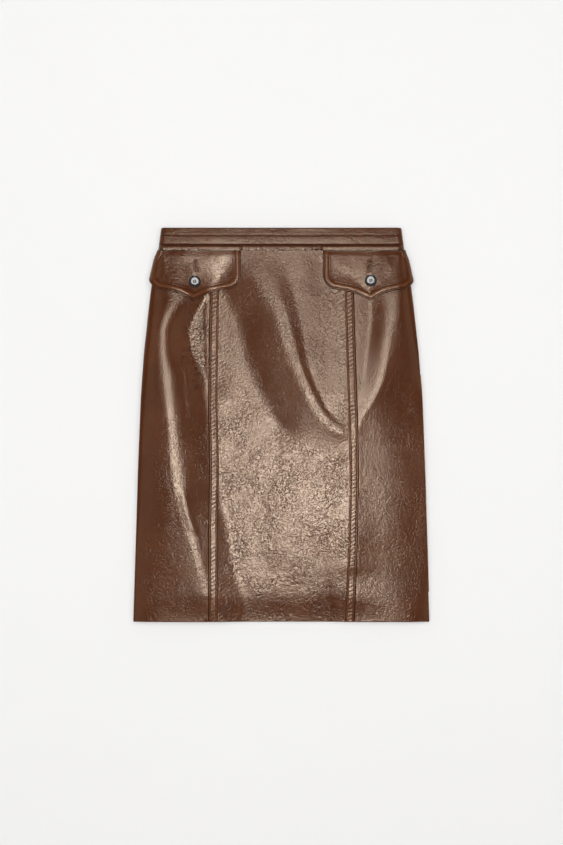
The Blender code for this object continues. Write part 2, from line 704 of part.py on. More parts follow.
def flap_columns(flap):
    """The flap's columns, as distances from its point, and which one the buttonhole starts at."""
    hole = -flap.hole_shift
    edges = [hole - BUTTONHOLE_HALF, hole + BUTTONHOLE_HALF]
    others = [-away for away in FLAP_COLUMNS] + list(FLAP_COLUMNS)
    clear = [away for away in others if abs(away - hole) > BUTTONHOLE_CLEAR]
    columns = sorted(clear + edges)
    return columns, columns.index(edges[0])


def pocket_flap(flap):
    """A pointed, doubled flap, sewn in under the waistband, with a keyhole buttonhole."""
    columns, hole_column = flap_columns(flap)
    grids = []
    for out in (DOUBLED, 0.0):
        grid = np.zeros((len(FLAP_ROWS), len(columns), 3))
        for i, share in enumerate(FLAP_ROWS):
            for j, column in enumerate(columns):
                place = column
                if i == BUTTONHOLE_ROWS[0] + 1 and j in (hole_column, hole_column + 1):
                    outward = 1 if j > hole_column else -1
                    place += outward * (BUTTONHOLE_EYE - BUTTONHOLE_HALF)
                grid[i, j] = flap_point(flap, place, share, out)
        grids.append(grid)
    hole = (BUTTONHOLE_ROWS, (hole_column, hole_column + 1))
    return sheet_solid(f"pocket_flap_{flap.name}", grids[0], grids[1], GLAZED, [hole])


def on_flap(flap):
    """The place and tilt of a flap's button, as a matrix with Z out of the flap."""
    from_point = -flap.button_shift
    depth = float(flap_depth(from_point))
    share = (flap.button_drop - SEAM_GAP / 2) / depth

    def near(out, down):
        return Vector(flap_point(flap, from_point + out, share + down / depth, DOUBLED))

    middle = near(0, 0)
    across = (near(BUTTON_RADIUS, 0) - near(-BUTTON_RADIUS, 0)) * flap.side
    up = near(0, -BUTTON_RADIUS) - near(0, BUTTON_RADIUS)
    normal = across.cross(up).normalized()
    across = up.cross(normal).normalized()
    turns = [2 * math.pi * i / BUTTON_SIDES for i in range(BUTTON_SIDES)]
    round_it = [near(BUTTON_RADIUS * math.cos(t), BUTTON_RADIUS * math.sin(t)) for t in turns]
    lift = max(0.0, *((place - middle).dot(normal) for place in round_it)) + 1.5 * SEAM_GAP
    turn = Matrix((across, normal.cross(across), normal)).transposed()
    return Matrix.Translation(middle + lift * normal) @ turn.to_4x4()


def button(flap):
    """A turned button with a raised rim, a dished middle and four sewing holes."""
    builder = bmesh.new()
    rings = []
    for radius, height in BUTTON_PROFILE:
        if radius == 0:
            rings.append([builder.verts.new((0, 0, height))])
            continue
        turns = [2 * math.pi * i / BUTTON_SIDES for i in range(BUTTON_SIDES)]
        rings.append([builder.verts.new((radius * math.cos(t), radius * math.sin(t), height)) for t in turns])
    for first, second in zip(rings[:-1], rings[1:], strict=True):
        for i in range(BUTTON_SIDES):
            j = (i + 1) % BUTTON_SIDES
            below = [first[i % len(first)], first[j % len(first)]]
            above = [second[j % len(second)], second[i % len(second)]]
            builder.faces.new(list(dict.fromkeys(below + above)))
    made = add_object(f"button_{flap.name}", builder, BUTTON_FINISH)
    for corner in range(4):
        turn = math.pi * (0.5 * corner + 0.25)
        place = (BUTTON_HOLE_PLACE * math.cos(turn), BUTTON_HOLE_PLACE * math.sin(turn), 0.0015)
        hole = bmesh.new()
        bmesh.ops.create_cone(
            hole,
            cap_ends=True,
            segments=10,
            radius1=BUTTON_HOLE_RADIUS,
            radius2=BUTTON_HOLE_RADIUS,
            depth=0.006,
            matrix=Matrix.Translation(place),
        )
        combine(made, add_object("hole_cutter", hole, BUTTON_FINISH), "DIFFERENCE")
    made.data.transform(on_flap(flap))
    return made


# --- Zip -------------------------------------------------------------------------------------------------


def tape_underside(x, y):
    """Height of the zip tape's underside, on the inner face of the back and of the band above it."""
    on_band = ease((y - WAIST_SEAM_Y + ZIP_CLIMB) / (ZIP_CLIMB - 2 * SEAM_GAP))
    return back_lift(x, y) + LEATHER + (DOUBLED - LEATHER) * on_band + 1.5 * SEAM_GAP


def zip_tape():
    """The tape and its chain on the inside of the centre-back seam, notched at the top for the slider."""
    chain_top = SLIDER_Y - SLIDER_LENGTH / 2 - SEAM_GAP
    lifted = WAIST_SEAM_Y - ZIP_CLIMB - LIFT_FADE_Y
    flat = np.linspace(ZIP_END_Y, lifted, 4)
    rising = np.linspace(lifted, WAIST_SEAM_Y - ZIP_CLIMB, 4)[1:]
    onto_band = np.linspace(WAIST_SEAM_Y - ZIP_CLIMB, WAIST_SEAM_Y, 4)[1:]
    y = np.concatenate([flat, rising, onto_band, [chain_top, WAIST_TOP_Y - ZIP_BELOW_TOP]])
    places = [ZIP_TAPE_HALF, ZIP_NOTCH_HALF, ZIP_CHAIN_HALF]
    x = np.array([-place for place in places] + places[::-1])
    columns, rows = np.meshgrid(x, y)
    low = np.stack([columns, rows, tape_underside(columns, rows)], axis=2)
    thick = np.where(np.abs(columns) < ZIP_CHAIN_HALF + 1e-6, ZIP_CHAIN, ZIP_TAPE)
    high = low + np.stack([np.zeros_like(thick), np.zeros_like(thick), thick], axis=2)
    notch = ((len(y) - 2, len(y) - 1), (1, 4))
    return sheet_solid("zip_tape", high, low, TAPE_FINISH, [notch])


def zip_slider():
    """The slider: a body inside the band, and an arch through the slit, outside it, for the pull tab."""
    inside = float(tape_underside(0.0, SLIDER_Y))
    half = SLIDER_LENGTH / 2
    low, high = inside, inside + SLIDER_BODY
    shoulder = high - SLIDER_CHAMFER
    flat_end = half - SLIDER_CHAMFER
    upper = [(half, shoulder), (flat_end, high), (-flat_end, high), (-half, shoulder)]
    body = bmesh.new()
    prism(body, [(-half, low), (half, low), *upper], -SLIDER_HALF, SLIDER_HALF)
    made = add_object("zip_slider", body, METAL_FINISH)
    arch = bmesh.new()
    turns = np.linspace(0, -math.pi, 9)
    outside = [(ARCH_OUTER * math.cos(t), PULL_AXIS_Z + ARCH_OUTER * math.sin(t)) for t in turns]
    under = [(ARCH_INNER * math.cos(t), PULL_AXIS_Z + ARCH_INNER * math.sin(t)) for t in reversed(turns)]
    bridge_top, hollow_top = inside + 0.0004, PULL_AXIS_Z + ARCH_INNER
    inner_corner = ARCH_INNER
    outline = [(ARCH_OUTER, bridge_top), *outside, (-ARCH_OUTER, bridge_top)]
    rim = [(-inner_corner, hollow_top), (inner_corner, hollow_top)]
    slot = bmesh.new()
    prism(arch, list(reversed(outline)), -BRIDGE_HALF, BRIDGE_HALF)
    prism(slot, under + list(reversed(rim)), -2 * BRIDGE_HALF, 2 * BRIDGE_HALF)
    arch_object = add_object("arch", arch, METAL_FINISH)
    combine(arch_object, add_object("slot", slot, METAL_FINISH), "DIFFERENCE")
    combine(made, arch_object, "UNION")
    made.data.transform(Matrix.Translation((0, SLIDER_Y, 0)))
    return made


def zip_pull():
    """The pull tab, a drop-shaped plate with a window whose top bar hangs in the slider's arch."""
    plate = bmesh.new()
    outline = [
        (-PULL_HALF, -0.0002),
        (PULL_HALF, -0.0002),
        (PULL_HALF, -0.0045),
        (0.8 * PULL_HALF, -0.0070),
        (1.15 * PULL_HALF, -0.0140),
        (0.9 * PULL_HALF, -0.0175),
        (0.0, -PULL_LENGTH),
        (-0.9 * PULL_HALF, -0.0175),
        (-1.15 * PULL_HALF, -0.0140),
        (-0.8 * PULL_HALF, -0.0070),
        (-PULL_HALF, -0.0045),
    ]
    rings = [[plate.verts.new((x, y, z)) for x, y in outline] for z in (-PULL_THICK / 2, PULL_THICK / 2)]
    for i in range(len(outline)):
        j = (i + 1) % len(outline)
        plate.faces.new([rings[0][i], rings[0][j], rings[1][j], rings[1][i]])
    plate.faces.new(rings[0])
    plate.faces.new(rings[1])
    made = add_object("zip_pull", plate, METAL_FINISH)
    window = bmesh.new()
    window_box = [(0.002, -0.002), (0.002, 0.002), (-PULL_WINDOW_END, 0.002), (-PULL_WINDOW_END, -0.002)]
    prism(window, window_box, -PULL_WINDOW_HALF, PULL_WINDOW_HALF)
    combine(made, add_object("window", window, METAL_FINISH), "DIFFERENCE")
    bar = bmesh.new()
    turn = Matrix.Rotation(math.pi / 2, 4, "Y")
    bmesh.ops.create_cone(
        bar,
        cap_ends=True,
        segments=12,
        radius1=PULL_BAR_RADIUS,
        radius2=PULL_BAR_RADIUS,
        depth=2 * PULL_HALF,
        matrix=turn,
    )
    combine(made, add_object("bar", bar, METAL_FINISH), "UNION")
    made.data.transform(Matrix.Rotation(PULL_HANG, 4, "X"))
    made.location = (0, SLIDER_Y, PULL_AXIS_Z)
    return made


# --- The skirt -------------------------------------------------------------------------------------------


def main():
    clear_scene()
    front_centre()
    waistband_front()
    for name, side in (("left", -1), ("right", 1)):
        front_side(f"front_side_{name}", side)
        back_panel(f"back_{name}", side)
        waistband_back(f"waistband_back_{name}", side)
    for flap in FLAPS:
        pocket_flap(flap)
        button(flap)
    zip_tape()
    zip_slider()
    zip_pull()


main()
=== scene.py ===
"""A glazed leather skirt, closed and lying on its back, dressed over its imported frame.

Units are metres and +Z is up. The waist is towards +Y, the hem towards -Y, and left and right are those of
someone who looks down at the front. Every leather piece is a thin closed shell on the form of a flattened
tube, with its creases, its stitched edges and its stitching.
"""

from __future__ import annotations

import json
import logging
import math
from dataclasses import dataclass, field
from enum import Enum

import bmesh
import bpy
import numpy as np
from mathutils import Matrix, Vector

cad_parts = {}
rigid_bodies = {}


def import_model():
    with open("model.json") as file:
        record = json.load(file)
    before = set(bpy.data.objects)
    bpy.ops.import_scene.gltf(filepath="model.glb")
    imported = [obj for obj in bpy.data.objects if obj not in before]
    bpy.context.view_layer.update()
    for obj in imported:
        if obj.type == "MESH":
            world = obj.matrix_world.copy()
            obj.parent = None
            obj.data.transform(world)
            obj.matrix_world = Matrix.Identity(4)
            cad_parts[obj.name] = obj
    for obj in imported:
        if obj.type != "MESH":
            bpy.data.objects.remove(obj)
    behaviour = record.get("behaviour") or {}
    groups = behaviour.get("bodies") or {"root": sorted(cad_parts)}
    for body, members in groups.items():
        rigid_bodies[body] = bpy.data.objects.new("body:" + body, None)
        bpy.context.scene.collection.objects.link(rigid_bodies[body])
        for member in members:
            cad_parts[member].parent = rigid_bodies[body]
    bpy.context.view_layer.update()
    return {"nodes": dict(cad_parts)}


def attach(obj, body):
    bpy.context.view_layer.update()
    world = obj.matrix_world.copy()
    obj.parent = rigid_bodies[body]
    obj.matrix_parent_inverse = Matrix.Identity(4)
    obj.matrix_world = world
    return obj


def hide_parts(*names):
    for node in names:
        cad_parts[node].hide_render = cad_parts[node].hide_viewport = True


LOG = logging.getLogger("leather_midi")
Grid = np.ndarray

SEAM_GAP = 0.0003
LEATHER = 0.0011
DOUBLED = 2 * LEATHER
HEM_Y = -0.2984
WAIST_SEAM_Y = 0.2645
WAIST_TOP_Y = 0.2987
SLIDER_Y = 0.2897

X_AXIS, Y_AXIS, Z_AXIS = range(3)
FIRST_ROW = (0,)
LAST_ROW = (-1,)
FIRST_COLUMN = (slice(None), 0)
LAST_COLUMN = (slice(None), -1)


class Side(Enum):
    """A side of the garment, as the sign of its X."""

    LEFT = -1
    RIGHT = 1


class Lay(Enum):
    """How a stitch lies to the line that it follows, as a turn about the cloth's normal."""

    ALONG = math.radians(5)
    ACROSS = math.radians(90)


# --- Curves and noise ------------------------------------------------------------------------------------


def smooth_value(places: Grid, values: Grid, at: Grid) -> Grid:
    """Reads the smooth curve through some values, which never overshoots them.

    Args:
        places: Where the values are, rising.
        values: One value for each place.
        at: Where to read the curve.

    Returns:
        The curve's value at each place read.
    """
    places, values, at = (np.asarray(a, float) for a in (places, values, at))
    steps = np.diff(places)
    slopes = np.diff(values) / steps
    tangents = np.concatenate([slopes[:1], np.zeros(len(values) - 2), slopes[-1:]])
    product = slopes[:-1] * slopes[1:]
    total = slopes[:-1] + slopes[1:]
    same_way = product > 0
    tangents[1:-1][same_way] = 2 * product[same_way] / total[same_way]
    cell = np.clip(np.searchsorted(places, at) - 1, 0, len(steps) - 1)
    t = np.clip((at - places[cell]) / steps[cell], 0, 1)
    rise = values[cell] * (1 + 2 * t) * (1 - t) ** 2 + values[cell + 1] * t * t * (3 - 2 * t)
    lean = tangents[cell] * t * (1 - t) ** 2 - tangents[cell + 1] * t * t * (1 - t)
    return rise + lean * steps[cell]


def ease(x: Grid) -> Grid:
    """0 below 0, 1 above 1, and a soft step between."""
    t = np.clip(x, 0, 1)
    return t * t * (3 - 2 * t)


def slide(along: Grid, top: Grid | float, foot: float) -> Grid:
    """1 before 0, 0 after 1, and between them an even slope that is rounded at its top and foot."""
    t = np.clip(along, 0, 1)
    full = 1 - (top + foot) / 2
    rounded_top = t * t / (2 * top)
    even = t - top / 2
    rounded_foot = full - (1 - t) ** 2 / (2 * foot)
    fallen = np.where(t < top, rounded_top, np.where(t > 1 - foot, rounded_foot, even))
    return 1 - fallen / full


def bell(away: Grid, reach: Grid | float) -> Grid:
    """1 at 0 and 0 from the reach on, with soft shoulders."""
    return 0.5 + 0.5 * np.cos(np.pi * np.clip(np.abs(away) / reach, 0, 1))


def rounded_edge(inset: Grid, radius: float) -> Grid:
    """How far a quarter-round edge has dropped, at a distance in from it."""
    t = np.clip(inset / radius, 0, 1)
    return radius * (1 - np.sqrt(1 - (1 - t) ** 2))


@dataclass(frozen=True)
class Wrinkles:
    """Smooth noise with a fixed seed, for the folds and wrinkles of cloth."""

    seed: int
    cells: int = 256
    warp: float = 0.6

    def smooth(self, u: Grid, v: Grid) -> Grid:
        """Gradient noise of about -1 to 1, one unit to a cell."""
        turns = np.random.default_rng(self.seed).uniform(0, 2 * np.pi, (self.cells, self.cells))
        low_u, low_v = np.floor(u).astype(int), np.floor(v).astype(int)
        in_u, in_v = u - low_u, v - low_v
        soft_u = in_u**3 * (in_u * (in_u * 6 - 15) + 10)
        soft_v = in_v**3 * (in_v * (in_v * 6 - 15) + 10)

        def corner(a: int, b: int) -> Grid:
            turn = turns[(low_u + a) % self.cells, (low_v + b) % self.cells]
            return np.cos(turn) * (in_u - a) + np.sin(turn) * (in_v - b)

        low = corner(0, 0) * (1 - soft_u) + corner(1, 0) * soft_u
        high = corner(0, 1) * (1 - soft_u) + corner(1, 1) * soft_u
        return 1.5 * (low * (1 - soft_v) + high * soft_v)

    def creased(self, x: Grid, y: Grid, scale: float) -> Grid:
        """Noise of 0 to 1 with sharp, wandering valleys about a scale apart."""
        u, v = x / scale, y / scale
        shift_u = Wrinkles(self.seed + 1).smooth(u * 0.7 + 3, v * 0.7)
        shift_v = Wrinkles(self.seed + 2).smooth(u * 0.7, v * 0.7 + 7)
        return np.abs(self.smooth(u + self.warp * shift_u, v + self.warp * shift_v))


def spline(points: Grid, between: int) -> Grid:
    """A smooth line through points, with more points between each two."""
    last = len(points) - 1
    out = []
    t = np.linspace(0, 1, between, endpoint=False)[:, None]
    for i in range(last):
        before, start, end, after = (points[min(max(i + k, 0), last)] for k in (-1, 0, 1, 2))
        bend = 2 * before - 5 * start + 4 * end - after
        twist = 3 * start - before - 3 * end + after
        out.append(0.5 * (2 * start + (end - before) * t + bend * t**2 + twist * t**3))
    return np.concatenate([*out, points[-1:]])


def nearest_on(line: Grid, x: Grid, y: Grid) -> tuple[Grid, Grid]:
    """Measures from a line: how far to its left, and how far along it in points.

    Args:
        line: The line's points.
        x: Places to measure from.
        y: Places to measure from.

    Returns:
        The signed distance, left positive, and the place along the line.
    """
    nearest = np.full(np.broadcast(x, y).shape, np.inf)
    signed, along = np.zeros_like(nearest), np.zeros_like(nearest)
    for i, (start, end) in enumerate(zip(line[:-1], line[1:], strict=True)):
        length = float(np.hypot(*(end - start)))
        way = (end - start) / length
        dx, dy = x - start[0], y - start[1]
        place = np.clip(dx * way[0] + dy * way[1], 0, length)
        away = np.hypot(dx - place * way[0], dy - place * way[1])
        closer = away < nearest
        nearest = np.where(closer, away, nearest)
        signed = np.where(closer, np.sign(way[0] * dy - way[1] * dx) * away, signed)
        along = np.where(closer, i + place / length, along)
    return signed, along


# --- The form --------------------------------------------------------------------------------------------


@dataclass(frozen=True)
class Level:
    """How the flattened tube lies at one height, in millimetres."""

    y: float
    half_width: float
    seam_height: float
    left_crest: float
    left_crest_height: float
    left_foot: float
    left_floor: float
    right_crest: float
    right_crest_height: float
    right_foot: float
    right_floor: float
    right_low: float
    crest_round: float


LEVELS = (
    Level(-298.4, 224.5, 5.7, 116, 11.8, 44, 6.4, 120, 11.8, 66, 6.7, 6.6, 0.45),
    Level(-262.0, 223.3, 5.7, 119, 12.1, 48, 6.1, 118, 11.6, 66, 6.7, 7.2, 0.34),
    Level(-225.0, 222.1, 5.8, 127, 12.3, 60, 5.8, 112, 10.5, 60, 7.6, 8.0, 0.24),
    Level(-195.0, 221.2, 5.9, 134, 12.7, 66, 5.6, 111, 10.2, 58, 8.2, 8.6, 0.22),
    Level(-165.0, 220.2, 6.1, 145, 13.3, 73, 5.5, 110, 10.1, 56, 8.7, 9.0, 0.26),
    Level(-125.0, 219.0, 6.2, 155, 14.3, 81, 5.4, 110, 9.9, 60, 9.3, 9.3, 0.30),
    Level(-85.0, 217.8, 6.6, 164, 14.7, 86, 5.2, 110, 10.1, 66, 9.6, 9.4, 0.30),
    Level(-40.0, 216.2, 6.9, 169, 14.9, 93, 5.1, 112, 10.8, 84, 10.7, 8.4, 0.30),
    Level(5.0, 214.4, 7.0, 172, 15.0, 100, 5.0, 121, 12.1, 98, 11.6, 6.7, 0.32),
    Level(35.0, 213.3, 7.0, 175, 15.2, 106, 5.0, 139, 12.7, 112, 11.6, 6.4, 0.36),
    Level(70.0, 211.0, 7.0, 180, 15.2, 112, 5.0, 155, 13.4, 120, 11.2, 6.6, 0.38),
    Level(111.0, 208.0, 7.0, 182, 15.2, 133, 5.0, 164, 13.8, 126, 10.7, 6.9, 0.40),
    Level(141.0, 204.8, 6.8, 182, 15.2, 139, 5.2, 168, 14.0, 130, 10.4, 7.4, 0.46),
    Level(166.0, 202.2, 6.5, 177, 14.8, 129, 5.5, 173, 14.0, 131, 10.2, 7.4, 0.52),
    Level(195.0, 198.8, 6.2, 166, 13.4, 106, 5.8, 176, 13.6, 128, 10.0, 7.4, 0.56),
    Level(215.0, 196.2, 5.9, 168, 12.8, 92, 6.2, 178, 12.8, 110, 9.9, 7.6, 0.50),
    Level(240.0, 192.0, 5.5, 174, 12.2, 70, 7.9, 176, 12.4, 70, 9.9, 9.0, 0.30),
    Level(264.5, 186.8, 5.2, 178, 11.6, 50, 9.9, 178, 11.6, 50, 10.0, 9.9, 0.12),
    Level(298.7, 182.2, 4.9, 177, 11.2, 50, 10.1, 177, 11.2, 50, 10.1, 10.1, 0.12),
)
LONG_SEAMS = (  # y, left x, right x
    (HEM_Y, -0.1097, 0.1103),
    (-0.1600, -0.1097, 0.1155),
    (-0.0600, -0.1085, 0.1168),
    (0.0330, -0.1100, 0.1144),
    (0.1140, -0.1092, 0.1118),
    (0.2006, -0.1076, 0.1093),
    (WAIST_TOP_Y, -0.1050, 0.1055),
)
SLANT = (  # x, y, width of its flank, height of its crest, its flat top, its fall to its upper side
    (-66, 274, 50, 0.0, 10, 40),
    (-55, 254, 56, 0.2, 10, 40),
    (-28, 214, 66, 1.1, 9, 36),
    (-4, 176, 72, 1.5, 6, 26),
    (13, 124, 76, 1.4, 4, 18),
    (32, 75, 76, 1.1, 2, 12),
    (54, 31, 74, 0.9, 1, 10),
    (70, 8, 66, 0.6, 1, 10),
    (92, -9, 52, 0.4, 1, 10),
    (120, -18, 40, 0.2, 1, 10),
    (165, -24, 60, 0.0, 1, 10),
    (235, -28, 90, 0.0, 1, 10),
)
UNDER_ROLL = 1.6  # width of the round under each side seam, for a seam height of 1
INSIDE_CREST = 0.22  # share of a side crest's inner slope that is its rounded foot
RIGHT_LEAN = 0.95  # below the hip the right side falls to its seam by this share of an even slope
RIGHT_LEAN_TOP = 0.15
LEFT_LEAN = 0.25
LEFT_LEAN_TOP = 0.10
LEAN_GROWTH = 0.12  # height over which a lean sets in
LEAN_FADE = 0.1  # height over the hem in which a lean fades
HEM_DROP = 0.0015  # how far the front sinks at the hem
HEM_DROP_HEIGHT = 0.045


@dataclass(frozen=True)
class Crease:
    """A soft ridge, or with a negative height a trough, along a line on the front, in millimetres."""

    line: tuple[tuple[float, float], ...]
    left: float
    right: float
    height: float

    def rise(self, x: Grid, y: Grid) -> Grid:
        """What the crease adds to the front's height."""
        line = spline(np.array(self.line, float) / 1000, 4)
        signed, along = nearest_on(line, x, y)
        share = along / (len(line) - 1)
        reach = np.where(signed > 0, self.left, self.right) / 1000
        return self.height / 1000 * bell(signed, reach) * ease(share / 0.25) * ease((1 - share) / 0.25)


CREASES: tuple[Crease, ...] = (
    Crease(((110, -340), (110, -280), (107, -212)), 38, 90, -1.1),
    Crease(((-140, 175), (-146, 120), (-140, 60), (-136, 0)), 9, 9, 0.5),
    Crease(((-112, 215), (-113, 165), (-112, 110), (-109, 60)), 50, 7, 0.45),
    Crease(((-113, 225), (-113, 110), (-110, 30)), 50, 36, -0.7),
    Crease(((-136, 132), (-126, 112), (-118, 84)), 5, 6, 0.22),
    Crease(((170, 40), (166, -30), (163, -110), (172, -190)), 46, 42, 0.5),
    Crease(((-150, -90), (-141, -135), (-128, -170)), 9, 10, 0.45),
    Crease(((72, 270), (66, 200), (62, 90)), 60, 42, -0.8),
)


@dataclass(frozen=True)
class Patch:
    """A soft patch of the front, by its middle and by how far it reaches each way."""

    x: float
    y: float
    reach_x: float
    reach_y: float

    def share(self, x: Grid, y: Grid) -> Grid:
        """1 in the patch's middle, falling to 0 at its edge."""
        return bell(x - self.x, self.reach_x) * bell(y - self.y, self.reach_y)


CREASED_HOLLOW = Patch(-0.128, 0.12, 0.028, 0.11)
WRINKLED_HOLLOW = Patch(-0.126, 0.12, 0.034, 0.12)


@dataclass
class Tube:
    """The skirt as a flattened tube: its outer heights at any place."""

    wrinkles: Wrinkles = field(default_factory=lambda: Wrinkles(5))
    swell: float = 0.00024
    creasing: float = 0.00011
    crease_scale: float = 0.0095
    zip_lift: float = 0.0031
    zip_half: float = 0.0055
    zip_fade: float = 0.024
    zip_lift_top: float = 0.266
    zip_lift_fade: float = 0.032

    def level(self, name: str, y: Grid) -> Grid:
        """A column of the table of levels in metres, at any height of the skirt."""
        places = [row.y / 1000 for row in LEVELS]
        return smooth_value(places, [getattr(row, name) / 1000 for row in LEVELS], y)

    def long_seam(self, side: Side, y: Grid) -> Grid:
        """The x of a long front seam at any height of the skirt."""
        column = 1 if side is Side.LEFT else 2
        return smooth_value([row[0] for row in LONG_SEAMS], [row[column] for row in LONG_SEAMS], y)

    def slant(self, x: Grid, y: Grid) -> tuple[Grid, Grid]:
        """The slanting fold of the front.

        Args:
            x: Places on the front.
            y: Places on the front.

        Returns:
            How far up its flank each place is, from 0 to 1, and what its crest adds.
        """
        line = spline(np.array(SLANT, float) / 1000, 5)
        signed, along = nearest_on(line[:, :2], x, y)
        steps = np.arange(len(line))
        width = np.interp(along, steps, line[:, 2])
        height = np.interp(along, steps, line[:, 3])
        up = np.where(signed >= 0, 1.0, slide(-signed / width, 0.18, 0.22))
        flat_top = np.interp(along, steps, line[:, 4])
        fall = np.interp(along, steps, line[:, 5])
        crest = np.where(signed >= 0, slide((signed - flat_top) / fall, 0.3, 0.3), up)
        return up, height * crest

    def plain_front(self, x: Grid, y: Grid) -> Grid:
        """Height of the front's outer surface without creases, wrinkles or raised strips."""
        x, y = np.broadcast_arrays(np.asarray(x, float), np.asarray(y, float))
        on_right = x > 0

        def of_side(name: str) -> Grid:
            return np.where(on_right, self.level(f"right_{name}", y), self.level(f"left_{name}", y))

        away = np.abs(x)
        edge, low = self.level("half_width", y), self.level("seam_height", y)
        crest, top, foot = of_side("crest"), of_side("crest_height"), of_side("foot")
        up, slant_crest = self.slant(x, y)
        left_floor, right_floor = self.level("left_floor", y), self.level("right_floor", y)
        low_floor = left_floor + (self.level("right_low", y) - left_floor) * ease((x + 0.10) / 0.22)
        middle = low_floor + (right_floor - low_floor) * up + slant_crest
        rounding = self.level("crest_round", y) * 1000
        inner = middle + (top - middle) * slide((crest - away) / (crest - foot), rounding, INSIDE_CREST)
        share = np.clip((edge - away) / (edge - crest), 0, 1)
        right_lean = RIGHT_LEAN * ease((RIGHT_LEAN_TOP - y) / LEAN_GROWTH)
        lean = np.where(on_right, right_lean, LEFT_LEAN * ease((LEFT_LEAN_TOP - y) / LEAN_GROWTH))
        lean = lean * ease((y - HEM_Y) / LEAN_FADE)
        outer = low + (top - low) * ((1 - lean) * np.sqrt(1 - (1 - share) ** 2) + lean * share)
        height = np.where(away > crest, outer, np.where(away > foot, inner, middle))
        return height - HEM_DROP * ease((HEM_Y + HEM_DROP_HEIGHT - y) / HEM_DROP_HEIGHT) * ease(share)

    def front(self, x: Grid, y: Grid) -> Grid:
        """Height of the front's outer surface, with its creases but without the raised strips."""
        x, y = np.broadcast_arrays(np.asarray(x, float), np.asarray(y, float))
        inset = np.clip(self.level("half_width", y) - np.abs(x), 0, None)
        from_edge = ease(inset / 0.022)
        below_band = ease((WAIST_SEAM_Y + 0.002 - y) / 0.03)
        height = self.plain_front(x, y)
        height = height + sum(crease.rise(x, y) for crease in CREASES) * from_edge
        swell = self.swell * self.wrinkles.smooth(x / 0.045 + 2.3, y / 0.06)
        up, _ = self.slant(x, y)
        strength = (1 - 0.8 * ease(up * (1 - up) * 6)) * (0.35 + 0.65 * ease((0.05 - y) / 0.15))
        strength = strength + 2.4 * CREASED_HOLLOW.share(x, y)
        creased = self.creasing * self.wrinkles.creased(x, y, self.crease_scale)
        return height + (swell + creased * strength) * from_edge * below_band

    def back(self, x: Grid, y: Grid) -> Grid:
        """Height of the back's outer surface, which is its underside."""
        x, y = np.broadcast_arrays(np.asarray(x, float), np.asarray(y, float))
        low = self.level("seam_height", y)
        inset = np.clip(self.level("half_width", y) - np.abs(x), 0, None)
        share = np.clip(inset / (UNDER_ROLL * low), 0, 1)
        return low * (1 - np.sqrt(1 - (1 - share) ** 2)) + self.back_lift(x, y)

    def back_lift(self, x: Grid, y: Grid) -> Grid:
        """How far the back is held off the surface round the zip's slider."""
        across = 1 - ease((np.abs(x) - self.zip_half) / self.zip_fade)
        return self.zip_lift * across * (1 - ease((self.zip_lift_top - y) / self.zip_lift_fade))

    def section(self, side: Side, y: float, samples: int = 60) -> tuple[Grid, Grid]:
        """The outer line at one height, from near the middle of the front round the side to the back.

        Args:
            side: Which half of the tube.
            y: The height of the skirt.
            samples: Points on each part of the line.

        Returns:
            The distances from the middle and the heights of the line's points.
        """
        edge = float(self.level("half_width", y))
        low = float(self.level("seam_height", y))
        turns = np.linspace(0, math.pi / 2, samples)
        roll = 0.03
        flat = np.linspace(roll, edge - roll, 3 * samples)[:-1]
        over = np.concatenate([flat, edge - roll * (1 - np.sin(turns))])
        lower = edge - UNDER_ROLL * low * (1 - np.cos(turns[1:]))
        x = np.concatenate([over, lower])
        z_front = self.plain_front(side.value * over, np.full(len(over), y))
        z_back = low * (1 - np.sin(turns[1:]))
        return x, np.concatenate([z_front, z_back])


# --- Objects and nodes -----------------------------------------------------------------------------------


def add_object(name: str, data: bpy.types.ID | None) -> bpy.types.Object:
    """A new object of some data, in the scene."""
    made = bpy.data.objects.new(name, data)
    bpy.context.scene.collection.objects.link(made)
    return made


def add_node(
    tree: bpy.types.NodeTree,
    kind: str,
    settings: dict | None = None,
    sockets: dict | None = None,
) -> bpy.types.Node:
    """Adds a node to a tree.

    Args:
        tree: The tree of a material, of a world or of Geometry Nodes.
        kind: The node's type.
        settings: Its properties, set before its sockets.
        sockets: Values or links of its input sockets, by name or index.

    Returns:
        The node.
    """
    made = tree.nodes.new(kind)
    for key, value in (settings or {}).items():
        setattr(made, key, value)
    for key, value in (sockets or {}).items():
        if isinstance(value, bpy.types.NodeSocket):
            tree.links.new(value, made.inputs[key])
        else:
            made.inputs[key].default_value = value
    return made


# --- Shader writing --------------------------------------------------------------------------------------


MIX_INPUTS = (0, 6, 7)  # a colour mix's factor and its two colours
MIX_RESULT = 2


